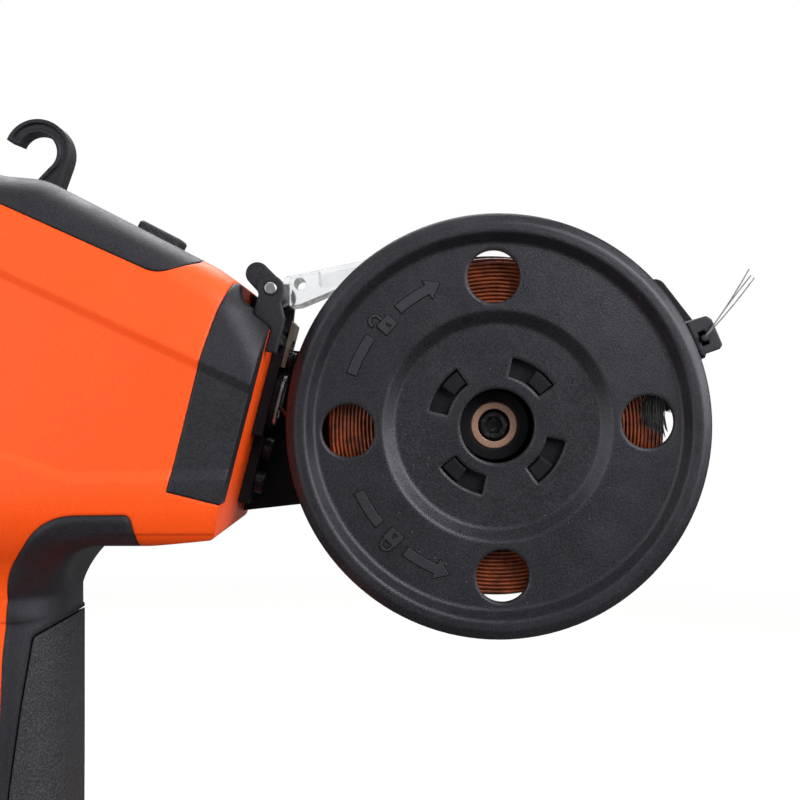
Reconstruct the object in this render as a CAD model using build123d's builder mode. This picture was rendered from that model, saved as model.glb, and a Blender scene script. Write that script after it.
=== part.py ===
from build123d import *
import math
import os

os.makedirs("parts", exist_ok=True)

# Housing. X runs from the nose (minus) to the spool (plus), Y is the width,
# Z is up from the battery's base.
body_half = 30.0
cavity_half = 18.5
grip_half = 18.0
crease_tilt = 25.0
side_lean = 9.0
top_round = 9.0
grip_round = 15.5
front_round = 7.0
panel_sink = 0.8
panel_inner = 21.8
seam = 0.15
overmould_core = 14.5
pad_depth = 2.0
foot_top = 70.0
foot_base = 50.0

# Nose line, along which the spindle lies.
axis_tilt = 15.0
axis_x = -60.0
axis_z = 240.0
nose_start = 12.35
nose_end = 62.0
spindle_d = 8.0
head_d = 14.0
motor_d = 24.0
gearbox_d = 24.4
running = 0.05
air = 0.35

# Claw and jaw round the tie.
mouth_u = 82.0
mouth_v = -1.0
mouth_r = 14.5
claw_wide = 5.0
claw_thick = 6.0
claw_u = 50.0
claw_v = 14.0
claw_open = 55.0
claw_teeth = 16
claw_module = 0.8
claw_pin_d = 4.0

# Spool.
spool_x = 122.5
spool_z = 185.0
disc_r = 50.0
disc_face = -16.0
disc_thick = 2.0
hole_r = 6.3
hole_ring = 35.4
hole_turn = 1.7
slot_in = 12.1
slot_out = 16.7
slot_span = 42.0
slot_turn = 56.5
hub_hole_r = 8.9
lug_span = 18.0
coil_r = 40.5
core_in = 26.3
coil_near = -8.0
coil_far = 8.4
far_flange_r = 43.0
wire_d = 0.8
turn_pitch = 1.3
turns = 11
bush_od = 12.0
bush_id = 8.0
bush_near = -1.0

# Spool arm and what it carries.
arm_near = 14.0
arm_thick = 5.0
flange_thick = 2.6
flange_tall = 40.0
inlet_s = 27.0
inlet_tall = 13.0
inlet_wide = 9.0

# Tension lever.
pin_x = 69.7
pin_z = 216.7
near_cheek = 21.0
pin_d = 3.0
cheek_gap = 6.5
cheek_thick = 2.6
arm_half = 5.8
tab_half = 4.2

# Wire feed.
nip_x = 46.0
feed_r = 7.1
idler_r = 5.5
feed_module = 0.7
pinion_teeth = 13
gear_teeth = 39
feed_motor_d = 21.0

# Battery.
battery_half = 34.0
battery_front = -46.0
battery_back = 46.0
cell_d = 18.3
cell_long = 65.0
rail_neck = 13.0
rail_head = 17.0
rail_gap = 0.3


class Outline(BaseLineObject):
    """A closed line through corners, each with an x, a y and its own rounding."""

    def __init__(self, corners, mode=Mode.ADD):
        points = [Vector(c[0], c[1]) for c in corners]
        count = len(points)
        arrive, leave, bends = [], [], []
        for i, corner in enumerate(corners):
            here = points[i]
            radius = corner[2] if len(corner) > 2 else 0
            bend = None
            start = end = here
            if radius > 0:
                back = (points[i - 1] - here).normalized()
                on = (points[(i + 1) % count] - here).normalized()
                half = math.acos(max(-1.0, min(1.0, back.dot(on)))) / 2
                reach = radius / math.tan(half)
                start = here + back * reach
                end = here + on * reach
                centre = here + (back + on).normalized() * (radius / math.sin(half))
                middle = centre + (here - centre).normalized() * radius
                bend = Edge.make_three_point_arc(start, middle, end)
            arrive.append(start)
            leave.append(end)
            bends.append(bend)
        edges = []
        for i in range(count):
            if bends[i]:
                edges.append(bends[i])
            after = (i + 1) % count
            if (arrive[after] - leave[i]).length > 1e-6:
                edges.append(Edge.make_line(leave[i], arrive[after]))
        super().__init__(Wire(edges), mode=mode)


def side(y):
    """Side view plane at a width: sketch x is X, sketch y is Z, and it extrudes towards minus Y."""
    return Plane.XZ.offset(-y)


tilt = math.radians(axis_tilt)
ahead = Vector(-math.cos(tilt), 0, math.sin(tilt))
upward = Vector(math.sin(tilt), 0, math.cos(tilt))
axis_start = Vector(axis_x, 0, axis_z)


def on_axis(u, v=0.0, y=0.0):
    """A point u ahead along the nose line, v above it and y across."""
    return axis_start + ahead * u + upward * v + Vector(0, y, 0)


def across(u, v=0.0):
    """Plane square to the nose line: sketch x is minus Y, sketch y is up, and it extrudes ahead."""
    return Plane(origin=on_axis(u, v), x_dir=(0, -1, 0), z_dir=ahead)


def along(y=0.0):
    """Side plane of the nose line: sketch x is ahead, sketch y is up, and it extrudes towards plus Y."""
    return Plane(origin=axis_start + Vector(0, y, 0), x_dir=ahead, z_dir=(0, 1, 0))


wall_foot = Vector(58.9, 0, 166.0)
wall_head = Vector(69.6, 0, 207.5)
wall_run = (wall_head - wall_foot).normalized()
wall_out = Vector(wall_run.Z, 0, -wall_run.X)


def on_wall(s, d=0.0, y=0.0):
    """A point s up the rear wall, d out from it and y across."""
    return wall_foot + wall_run * s + wall_out * d + Vector(0, y, 0)


def wall_plane(s, d=0.0, y=0.0):
    """Plane on the rear wall: sketch x is Y, sketch y runs up the wall, and it extrudes outwards."""
    return Plane(origin=on_wall(s, d, y), x_dir=(0, 1, 0), z_dir=wall_out)


def wall_xz(s, d):
    point = on_wall(s, d)
    return (point.X, point.Z)


spool_plane = Plane(origin=(spool_x, 0, spool_z), x_dir=(1, 0, 0), z_dir=(0, 0, 1))
spool_axis = Axis((spool_x, 0, spool_z), (0, 1, 0))


def gear_points(teeth, module, addendum, phase, slack=0.14):
    """Corners of an involute gear with one tooth centred on the phase angle."""
    pitch_r = teeth * module / 2
    base_r = pitch_r * math.cos(math.radians(20))
    root_r = pitch_r - module * (addendum + 0.3)
    tip_r = pitch_r + module * addendum
    half_pitch = math.pi / (2 * teeth) - slack / (4 * pitch_r)

    def involute(radius):
        turn = math.acos(min(1.0, base_r / radius))
        return math.tan(turn) - turn

    at_pitch = involute(pitch_r)
    low = max(base_r, root_r)
    radii = [low + (tip_r - low) * k / 3 for k in range(4)]
    corners = []
    for tooth in range(teeth):
        middle = math.radians(phase) + tooth * 2 * math.pi / teeth
        flank = [(r, half_pitch + at_pitch - involute(r)) for r in radii]
        if root_r < base_r:
            flank.insert(0, (root_r, flank[0][1]))
        for r, w in flank:
            corners.append((r * math.cos(middle - w), r * math.sin(middle - w)))
        for r, w in reversed(flank):
            corners.append((r * math.cos(middle + w), r * math.sin(middle + w)))
    return corners


# Outer form of the housing and grip, from which the moulded pieces are parted.
crease_dir = Vector(math.cos(math.radians(crease_tilt)), 0, -math.sin(math.radians(crease_tilt)))
crease_x = 11.1
crease_z = 220.3
cove_top = 172.0
cove_base = 139.0
grip_step = 139.6
grip_back = 19.3
pad_back = 20.0
chin_z = 158.0
web_r = 13.0
ledge_in = (65.9, 210.7)
ledge_out = (69.75, 207.55)


def over_crease(point):
    """Height of a point over the upper crease."""
    rise = (point.Z - crease_z) * math.cos(math.radians(crease_tilt))
    return rise + (point.X - crease_x) * math.sin(math.radians(crease_tilt))


def web_plane(turn):
    """Plane through the web's centre: sketch x points from it into the web, sketch y is Y."""
    c = math.cos(math.radians(turn))
    s = math.sin(math.radians(turn))
    return Plane(origin=(grip_back + web_r, 0, chin_z - web_r), x_dir=(c, 0, s), z_dir=(-s, 0, c))


# Rounding of the web behind the grip: full at the grip, smaller towards the chin.
web_rounds = (
    (180, 3.6, grip_round, 19.1),
    (150, 12.8, 8.5, 24.3),
    (120, 19.35, 4.83, 27.3),
    (90, 22.1, 3.3, 27.4),
)
with BuildPart() as web_cutter:
    for hand in (-1, 1):
        for turn, start, deep, wide in web_rounds:
            with BuildSketch(web_plane(turn)):
                with BuildLine():
                    bend = TangentArc(
                        (web_r, hand * start), (web_r + deep, hand * wide), tangent=(0, hand)
                    )
                    Polyline(
                        bend @ 1,
                        (web_r + deep, hand * 45),
                        (web_r - 3, hand * 45),
                        (web_r - 3, hand * start),
                        bend @ 0,
                    )
                make_face()
        loft()
        for turn, reach in ((180, chin_z - web_r - grip_step), (90, -32)):
            turn, start, deep, wide = next(r for r in web_rounds if r[0] == turn)
            with BuildSketch(web_plane(turn)):
                with BuildLine():
                    bend = TangentArc(
                        (web_r, hand * start), (web_r + deep, hand * wide), tangent=(0, hand)
                    )
                    Polyline(
                        bend @ 1,
                        (web_r + deep, hand * 45),
                        (web_r - 3, hand * 45),
                        (web_r - 3, hand * start),
                        bend @ 0,
                    )
                make_face()
            extrude(amount=reach)

with BuildPart() as form:
    with BuildSketch(Plane.XZ):
        with BuildLine():
            Outline(
                [
                    (wall_foot.X, wall_foot.Z),
                    (wall_head.X, wall_head.Z),
                    (66, 214.5, 15),
                    (59.7, 220.4, 30),
                    (34.1, 233.6, 60),
                    (18.0, 241.8, 14),
                    (8.5, 242.6, 14),
                    (-66, 264.9),
                    (-79.0, 216.6),
                    (-35.6, 204.9, 18),
                    (-23.5, 188, 14),
                    (-21, 160, 60),
                    (-20, 62),
                    (pad_back - 1.3, 62),
                    (pad_back - 1.0, 92, 80),
                    (pad_back, grip_step),
                    (grip_back, grip_step),
                    (grip_back, chin_z, web_r),
                    (42.0, chin_z, 25),
                    (57.6, chin_z + 1.8, 1.5),
                ]
            )
        make_face()
    extrude(amount=body_half, both=True)
    for hand in (-1, 1):
        with BuildSketch(
            Plane(
                origin=(crease_x, hand * body_half, crease_z),
                x_dir=(0, -hand, 0),
                z_dir=crease_dir * (-hand),
            )
        ):
            with BuildLine():
                Polyline(
                    (0, 0),
                    (60 * math.tan(math.radians(side_lean)), 60),
                    (-6, 60),
                    (-6, 0),
                    close=True,
                )
            make_face()
        extrude(amount=170, both=True, mode=Mode.SUBTRACT)
        with BuildSketch(Plane.YZ.offset(-45)):
            with BuildLine():
                waist = ((body_half + grip_half) / 2, (cove_top + cove_base) / 2)
                bulge = TangentArc(
                    (hand * body_half, cove_top),
                    (hand * waist[0], waist[1]),
                    tangent=(0, -1),
                )
                hollow = TangentArc(bulge @ 1, (hand * grip_half, cove_base), tangent=bulge % 1)
                Polyline(
                    hollow @ 1,
                    (hand * grip_half, 40),
                    (hand * (body_half + 15), 40),
                    (hand * (body_half + 15), cove_top),
                    (hand * body_half, cove_top),
                )
            make_face()
        extrude(amount=125, mode=Mode.SUBTRACT)
    crown = [
        e
        for e in form.edges()
        if over_crease(e.center()) > 4
        and 15 < abs(e.center().Y) < body_half - 0.5
        and e.center().X > -64
        and abs(e.tangent_at(0.5).X) > 0.3
    ]
    fillet(crown, top_round)
    brow = [
        e
        for e in form.edges()
        if abs(e.center().Y) > grip_half - 0.5
        and -73 < e.center().X < -15
        and e.center().Z < 213
        and over_crease(e.center()) < -10
        and abs(e.tangent_at(0.5).X) < 0.98
    ]
    fillet(brow, front_round)
    add(web_cutter.part, mode=Mode.SUBTRACT)
    # ledge for the lever bracket at the head of the rear wall
    with BuildSketch(side(body_half + 5)):
        with BuildLine():
            Polyline(ledge_in, ledge_out, (80, ledge_out[1]), (80, 217), (65.4, 217), close=True)
        make_face()
    extrude(amount=2 * body_half + 10, mode=Mode.SUBTRACT)
    with BuildSketch(Plane.XY.offset(40)):
        with Locations((22, 0)):
            Rectangle(40, 80)
        RectangleRounded(2 * pad_back, 2 * grip_half, grip_round, mode=Mode.SUBTRACT)
    extrude(amount=grip_step - 40, mode=Mode.SUBTRACT)
    for hand in (-1, 1):
        with BuildSketch(side(hand * body_half)):
            with BuildLine():
                Polyline(
                    (90, 183.5),
                    (-100, 272.1),
                    (-100, 215),
                    (-26, 191.5),
                    (11.1, 178.4),
                    (25, 173.2),
                    (90, 174),
                    close=True,
                )
            make_face()
        with BuildSketch(side(hand * (body_half - panel_sink))):
            with BuildLine():
                Polyline(
                    (90, 181.2),
                    (-100, 269.8),
                    (-100, 217.2),
                    (-26, 193.7),
                    (11.1, 180.5),
                    (25, 175.3),
                    (90, 176),
                    close=True,
                )
            make_face()
        loft(mode=Mode.SUBTRACT)
    with BuildSketch(Plane.XY.offset(foot_top)):
        with Locations((0, 0)):
            RectangleRounded(41.5, 2 * grip_half, grip_round)
    with BuildSketch(Plane.XY.offset(foot_top - 9)):
        with Locations((1, 0)):
            RectangleRounded(72, 56, 13)
    loft()
    with BuildSketch(Plane.XY.offset(foot_base)):
        with Locations((1, 0)):
            RectangleRounded(76, 60, 14)
    extrude(amount=foot_top - 9 - foot_base)

# Hollow inside the housing for the drive and the feed.
with BuildPart() as hollow_form:
    with BuildSketch(Plane.XZ):
        with BuildLine():
            Outline(
                [
                    (55.0, 163.8, 3),
                    (63.3, 198, 4),
                    (57, 207, 4),
                    (53, 218.7, 8),
                    (32.0, 229.6, 50),
                    (14.0, 237.6, 30),
                    (-69.8, 260.4),
                    (-79.2, 222.0),
                    (-30, 208, 12),
                    (-15, 184, 12),
                    (-15, 161.4),
                    (46, 161.4, 4),
                ]
            )
        make_face()
    extrude(amount=cavity_half, both=True)
    with BuildSketch(Plane.XY.offset(66)):
        with Locations((-1, 0)):
            RectangleRounded(30, 25, 4)
    extrude(amount=100)

# Regions that part the moulded pieces: top cover, corner panel, grip overmould and pad.
cover_line = [
    (-110, 268.5),
    (8, 236.0, 60),
    (45.0, 219.4, 7),
    (54.2, 222.5, 1),
    (54.4, 230),
    (60, 300),
    (-110, 300),
]
panel_line = [
    (47.8, 170.9),
    (55, 199.9, 90),
    (58.3, 210, 40),
    (62.2, 219),
    (64, 226),
    (80, 226),
    (80, 162.8),
]
mould_line = [
    (42.4, 148),
    (39.3, 165.6, 1.6),
    (20.5, 165.4, 14),
    (9.5, 151.3, 14),
    (7.3, 131.8, 60),
    (5.0, foot_top + 1),
    (43, foot_top + 1),
    (43, 148),
]
brow_line = [
    (60.2, 207.4),
    (62.4, 219.2),
    (64, 226),
    (80, 226),
    (80, 207.4),
]
pad_line = [
    (26, grip_step + 0.35),
    (20.5, grip_step - 0.4),
    (13.6, 135.6, 1.5),
    (11.2, 119.4, 60),
    (8.6, 98.7, 60),
    (7.6, foot_top + 4, 3),
    (26, foot_top + 4),
]

screw_spots = [(-60.0, 217.6), (12.5, 176.5), (52.0, 213.0), (-10.0, 80.0), (52.5, 166.0)]
screw_d = 3.0
screw_head_d = 5.8
screw_seat = 24.0


# Skins of the grip: the overmould over the shell's core, and the pad over the overmould.
with BuildPart() as mould_core:
    with BuildSketch(Plane.XZ):
        with BuildLine():
            Outline(
                [
                    (-30, 60),
                    (15.8, 60),
                    (15.8, 149, 10),
                    (26, 160.2, 8),
                    (60, 160.2),
                    (60, 185),
                    (-30, 185),
                ]
            )
        make_face()
    extrude(amount=overmould_core, both=True)
    core_back = [e for e in mould_core.edges() if abs(e.center().X - 15.8) < 0.1 and e.center().Z < 150]
    fillet([e for e in core_back if abs(e.center().Y) > 1], 10)
with BuildPart() as pad_core:
    with BuildSketch(Plane.XY.offset(55)):
        with Locations((0, 0)):
            RectangleRounded(
                2 * (pad_back - 0.5 - pad_depth), 2 * (grip_half - pad_depth), grip_round - pad_depth
            )
    extrude(amount=100)

with BuildPart() as grip_overmould:
    add(form.part)
    with BuildSketch(Plane.XZ):
        with BuildLine():
            Outline(mould_line)
        make_face()
    extrude(amount=60, both=True, mode=Mode.INTERSECT)
    add(mould_core.part, mode=Mode.SUBTRACT)
    add(hollow_form.part, mode=Mode.SUBTRACT)
with BuildPart() as pad_block:
    with BuildSketch(Plane.XZ):
        with BuildLine():
            Outline(pad_line)
        make_face()
    extrude(amount=60, both=True)
    add(pad_core.part, mode=Mode.SUBTRACT)
with BuildPart() as pad_pocket:
    with BuildSketch(Plane.XZ):
        with BuildLine():
            Outline(pad_line)
        make_face()
        offset(amount=0.45, kind=Kind.INTERSECTION)
    extrude(amount=60, both=True)
    add(pad_core.part, mode=Mode.SUBTRACT)
with BuildPart() as grip_pad:
    add(form.part)
    add(pad_block.part, mode=Mode.INTERSECT)
with BuildPart() as grip_overmould_cut:
    add(grip_overmould.part)
    add(pad_pocket.part, mode=Mode.SUBTRACT)
grip_overmould_cut.part.label = "grip_overmould"
export_step(grip_overmould_cut.part, "parts/grip_overmould.step")
grip_pad.part.label = "grip_pad"
export_step(grip_pad.part, "parts/grip_pad.step")

# Top cover with its seat for the hook's tang and the press button.
button_mid = 40.0
button_slope = 27.2
button_z = 230.65
button_long = 11.5
button_wide = 9.0
button_plane = Plane(
    origin=(button_mid, 0, button_z),
    x_dir=(math.cos(math.radians(button_slope)), 0, -math.sin(math.radians(button_slope))),
    z_dir=(math.sin(math.radians(button_slope)), 0, math.cos(math.radians(button_slope))),
)
hook_x = 10.4
hook_z = 252.0
hook_out = 8.12
hook_in = 4.78
hook_half = 2.6
tang_fit = 0.1
with BuildPart() as top_cover:
    add(form.part)
    with BuildSketch(Plane.XZ):
        with BuildLine():
            Outline(cover_line)
        make_face()
    extrude(amount=60, both=True, mode=Mode.INTERSECT)
    add(hollow_form.part, mode=Mode.SUBTRACT)
    with BuildSketch(Plane.XY.offset(235)):
        with Locations((12.4, 0)):
            Rectangle(5 + 2 * tang_fit, 3 + 2 * tang_fit)
    extrude(amount=20, mode=Mode.SUBTRACT)
    with BuildSketch(button_plane.offset(-8)):
        RectangleRounded(button_long + 0.8, button_wide + 0.8, 2)
    extrude(amount=20, mode=Mode.SUBTRACT)
top_cover.part.label = "top_cover"
export_step(top_cover.part, "parts/top_cover.step")

# Hanging hook, open to the front, with a sunk web between its rims.
with BuildPart() as hanging_hook:
    with BuildSketch(Plane.XZ):
        with Locations((hook_x, hook_z)):
            Circle(hook_out)
            Circle(hook_in, mode=Mode.SUBTRACT)
        with BuildLine():
            Polyline(
                (hook_x, hook_z),
                (-8.1, 259.5),
                (-14, 240),
                (0, 228),
                (18, 232),
                (22, 235.7),
                close=True,
            )
        make_face(mode=Mode.SUBTRACT)
        with BuildLine():
            Polyline(
                (13.2, 248.1),
                (9.5, 244.2),
                (5.4, 239.9),
                (14.6, 239.9),
                (16.0, 243.4),
                (18.1, 249.3),
                (16.5, 251),
                close=True,
            )
        make_face()
        with Locations((hook_x, hook_z)):
            Circle(hook_in, mode=Mode.SUBTRACT)
    extrude(amount=hook_half, both=True)
    for hand in (-1, 1):
        with BuildSketch(side(hand * hook_half)):
            with Locations((hook_x, hook_z)):
                Circle(hook_out - 0.95)
                Circle(hook_in + 0.95, mode=Mode.SUBTRACT)
            with BuildLine():
                Polyline(
                    (hook_x, hook_z),
                    (-6.9, 262),
                    (-14, 240),
                    (0, 228),
                    (18, 232),
                    (22, 235.7),
                    close=True,
                )
            make_face(mode=Mode.SUBTRACT)
            with BuildLine():
                Polyline((14.0, 247.6), (10.4, 243.9), (14.7, 243.2), (16.7, 248.9), close=True)
            make_face()
        extrude(amount=0.7, both=True, mode=Mode.SUBTRACT)
    add(form.part, mode=Mode.SUBTRACT)
    with BuildSketch(Plane.XY.offset(238.5)):
        with Locations((12.4, 0)):
            Rectangle(5, 3)
    extrude(amount=6)
hanging_hook.part.label = "hanging_hook"
export_step(hanging_hook.part, "parts/hanging_hook.step")

# Press button on the cover's rear slope.
with BuildPart() as press_button:
    with BuildSketch(button_plane.offset(-6)):
        RectangleRounded(button_long, button_wide, 1.6)
    extrude(amount=8.4)
    with BuildSketch(button_plane.offset(-7.6)):
        RectangleRounded(button_long + 4, button_wide + 3, 1.6)
    extrude(amount=1.6)
    cap = press_button.faces().sort_by(Axis(button_plane.origin, button_plane.z_dir))[-1]
    chamfer(cap.edges(), 0.5)
press_button.part.label = "press_button"
export_step(press_button.part, "parts/press_button.step")

# Room for the thumb tab's swing, at the head of the rear wall.
scoop_r = 8.2
with BuildPart() as thumb_scoop:
    with BuildSketch(side(tab_half + 0.8)):
        with Locations((pin_x, pin_z)):
            Circle(scoop_r)
        with Locations((pin_x, pin_z + 6)):
            Rectangle(40, 21, mode=Mode.INTERSECT)
    extrude(amount=tab_half + 0.8 + near_cheek - cheek_thick + 0.4)
    # the scoop runs out through the near panel's top corner
    with BuildSketch(side(cheek_thick - near_cheek)):
        with Locations((pin_x, pin_z)):
            Circle(scoop_r - 1.4)
        with Locations((pin_x, pin_z + 6)):
            Rectangle(40, 21, mode=Mode.INTERSECT)
    extrude(amount=body_half - near_cheek)

# Corner panels on the rear sides, and the two housing halves.
panel_zones = {}
for name, hand in (("left_corner_panel", -1), ("right_corner_panel", 1)):
    with BuildPart() as panel_zone:
        with BuildSketch(side(hand * panel_inner)):
            with BuildLine():
                Outline(panel_line)
            make_face()
        extrude(amount=-hand * 30)
        with BuildSketch(side(hand * seam / 2)):
            with BuildLine():
                Outline(brow_line)
            make_face()
        extrude(amount=-hand * panel_inner)
    with BuildPart() as panel_pocket:
        with BuildSketch(side(hand * (panel_inner - seam))):
            with BuildLine():
                Outline(panel_line)
            make_face()
            offset(amount=seam, kind=Kind.INTERSECTION)
        extrude(amount=-hand * 30)
        with BuildSketch(side(-hand * 2)):
            with BuildLine():
                Outline(brow_line)
            make_face()
            offset(amount=seam, kind=Kind.INTERSECTION)
        extrude(amount=-hand * (panel_inner + 2))
    panel_zones[hand] = panel_pocket.part
    with BuildPart() as corner_panel:
        add(form.part)
        add(panel_zone.part, mode=Mode.INTERSECT)
        add(thumb_scoop.part, mode=Mode.SUBTRACT)
    corner_panel.part.label = name
    export_step(corner_panel.part, "parts/" + name + ".step")
    print(name, len(corner_panel.part.solids()), round(corner_panel.part.volume))

with BuildPart() as mould_block:
    with BuildSketch(Plane.XZ):
        with BuildLine():
            Outline(mould_line)
        make_face()
        offset(amount=seam, kind=Kind.INTERSECTION)
    extrude(amount=60, both=True)
    add(mould_core.part, mode=Mode.SUBTRACT)

trigger_half = 6.5
trigger_gap = 0.4
for name, hand in (("left_shell", -1), ("right_shell", 1)):
    with BuildPart() as shell:
        add(form.part)
        add(hollow_form.part, mode=Mode.SUBTRACT)
        # screw posts
        for x, z in screw_spots:
            with BuildSketch(side(cavity_half + 1)):
                with Locations((x, z)):
                    Circle(4)
            extrude(amount=2 * cavity_half + 2)
        # ribs round the motor and the gearbox
        for u, bore in ((-62, motor_d / 2), (-21, gearbox_d / 2)):
            with BuildSketch(across(u)):
                Rectangle(2 * cavity_half + 1, 24)
                Circle(bore + 0.02, mode=Mode.SUBTRACT)
            extrude(amount=3)
        # cover, panels and overmould
        with BuildSketch(Plane.XZ):
            with BuildLine():
                Outline(cover_line)
            make_face()
            offset(amount=seam, kind=Kind.INTERSECTION)
        extrude(amount=60, both=True, mode=Mode.SUBTRACT)
        add(panel_zones[hand], mode=Mode.SUBTRACT)
        add(mould_block.part, mode=Mode.SUBTRACT)
        # sweep of the thumb tab, wire inlet, trigger window
        add(thumb_scoop.part, mode=Mode.SUBTRACT)
        with BuildSketch(wall_plane(inlet_s, -9)):
            SlotOverall(inlet_tall, inlet_wide, rotation=90)
        extrude(amount=12, mode=Mode.SUBTRACT)
        with BuildSketch(side(trigger_half + trigger_gap)):
            with BuildLine():
                Polyline((-40, 151), (-10, 151), (-10, 186.5), (-24.2, 186.5), (-40, 190), close=True)
            make_face()
        extrude(amount=2 * (trigger_half + trigger_gap), mode=Mode.SUBTRACT)
        # rail slot for the battery, with its notches for the latch
        with BuildSketch(Plane.XY.offset(foot_base - 1)):
            with Locations((-10, 0)):
                Rectangle(88, 2 * (rail_neck + rail_gap))
        extrude(amount=5, mode=Mode.SUBTRACT)
        with BuildSketch(Plane.XY.offset(foot_base + 2.6)):
            with Locations((-10, 0)):
                Rectangle(88, 2 * (rail_head + rail_gap))
        extrude(amount=4, mode=Mode.SUBTRACT)
        for y in (-22.5, 22.5):
            with BuildSketch(Plane.XY.offset(foot_base - 1)):
                with Locations((-26, y)):
                    Rectangle(5, 6)
            extrude(amount=3.8, mode=Mode.SUBTRACT)
        # screws come in from the right
        for x, z in screw_spots:
            with BuildSketch(side(screw_seat)):
                with Locations((x, z)):
                    Circle(screw_d / 2 + running)
            extrude(amount=screw_seat + 12, mode=Mode.SUBTRACT)
            with BuildSketch(side(body_half + 2)):
                with Locations((x, z)):
                    Circle(screw_head_d / 2 + 0.3)
            extrude(amount=body_half + 2 - screw_seat if z > 90 else body_half + 2 - 13, mode=Mode.SUBTRACT)
        split(bisect_by=Plane.XZ, keep=Keep.TOP if hand < 0 else Keep.BOTTOM)
    shell.part.label = name
    export_step(shell.part, "parts/" + name + ".step")
    print(name, len(shell.part.solids()), round(shell.part.volume))

# Screws of the housing, all driven from the right.
with BuildPart() as housing_screws:
    for x, z in screw_spots:
        seat = screw_seat if z > 90 else 13.0
        with BuildSketch(side(seat)):
            with Locations((x, z)):
                Circle(screw_d / 2)
        extrude(amount=seat + 10)
        with BuildSketch(side(seat + 2.2)):
            with Locations((x, z)):
                Circle(screw_head_d / 2)
                RegularPolygon(1.4, 6, mode=Mode.SUBTRACT)
        extrude(amount=2.2)
housing_screws.part.label = "housing_screws"
export_step(housing_screws.part, "parts/housing_screws.step")

# Line of the tie wire: off the coil, round the inlet, then along the nose line to the jaw.
wire_bend = on_wall(inlet_s - 1.0, flange_thick + 1.3)
wire_v = (wire_bend - axis_start).dot(upward)
wire_u = (wire_bend - axis_start).dot(ahead)
touch_r = coil_r + wire_d / 2 + air
to_spool = Vector(spool_x - wire_bend.X, 0, spool_z - wire_bend.Z)
spread = math.asin(touch_r / to_spool.length)
bearing_dir = math.atan2(to_spool.Z, to_spool.X) - spread
free_run = math.sqrt(to_spool.length**2 - touch_r**2)
wire_touch = wire_bend + Vector(math.cos(bearing_dir), 0, math.sin(bearing_dir)) * free_run
bend_r = 5.0

# Nose housing.
mid_bearing = 27.0
bearing_long = 5.0
bearing_r = 8.0
rack_v = claw_v - claw_teeth * claw_module / 2
rack_add = 0.75 * claw_module
rack_ded = 1.05 * claw_module
rack_half = 2.0
rack_base = spindle_d / 2 + 0.6
jaw_half = claw_thick / 2
with BuildPart() as nose_housing:
    with BuildSketch(across(nose_start)):
        with Locations((0, -2.5)):
            RectangleRounded(46, 48, 10)
    with BuildSketch(across(nose_start + 8)):
        with Locations((0, -2.2)):
            RectangleRounded(45, 47, 11)
    loft()
    with BuildSketch(across(nose_start + 8)):
        with Locations((0, -2.2)):
            RectangleRounded(45, 47, 11)
    with BuildSketch(across(nose_end)):
        with Locations((0, 1.5)):
            RectangleRounded(24, 37, 7)
    loft()
    with BuildSketch(across(nose_start - 1)):
        Circle(spindle_d / 2 + 0.4)
    extrude(amount=nose_end - nose_start + 2, mode=Mode.SUBTRACT)
    with BuildSketch(across(nose_start - 1)):
        Circle(bearing_r + 0.03)
    extrude(amount=mid_bearing + bearing_long - nose_start + 1, mode=Mode.SUBTRACT)
    with BuildSketch(across(nose_start - 1)):
        with Locations((0, wire_v)):
            Circle(1.6)
    extrude(amount=31 - nose_start, mode=Mode.SUBTRACT)
    with BuildSketch(along(-jaw_half - 0.3)):
        with BuildLine():
            Polyline(
                (claw_u - 9, 5.4),
                (nose_end + 2, 5.4),
                (nose_end + 2, 40),
                (claw_u - 9, 40),
                close=True,
            )
        make_face()
    extrude(amount=2 * jaw_half + 0.6, mode=Mode.SUBTRACT)
    with BuildSketch(along(-rack_half - 0.2)):
        with BuildLine():
            Polyline(
                (34, rack_base - 0.1),
                (nose_end + 2, rack_base - 0.1),
                (nose_end + 2, 9),
                (34, 9),
                close=True,
            )
        make_face()
    extrude(amount=2 * rack_half + 0.4, mode=Mode.SUBTRACT)
    with BuildSketch(along(-jaw_half - 0.05)):
        with BuildLine():
            Polyline((29.9, -35), (29.9, -10.3), (nose_end + 2, -10.3), (nose_end + 2, -35), close=True)
        make_face()
    extrude(amount=2 * jaw_half + 0.1, mode=Mode.SUBTRACT)
    with BuildSketch(along(-20)):
        with Locations((claw_u, claw_v)):
            Circle(claw_pin_d / 2)
    extrude(amount=40, mode=Mode.SUBTRACT)
nose_housing.part.label = "nose_housing"
export_step(nose_housing.part, "parts/nose_housing.step")

# Pin on which the claw swings.
with BuildPart() as claw_pin:
    with BuildSketch(along(-11.2)):
        with Locations((claw_u, claw_v)):
            Circle(claw_pin_d / 2 - 0.01)
    extrude(amount=22.4)
claw_pin.part.label = "claw_pin"
export_step(claw_pin.part, "parts/claw_pin.step")


def ray(centre, angle, reach):
    """A point at an angle and a distance from a centre."""
    turn = math.radians(angle)
    return (centre[0] + reach * math.cos(turn), centre[1] + reach * math.sin(turn))


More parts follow.
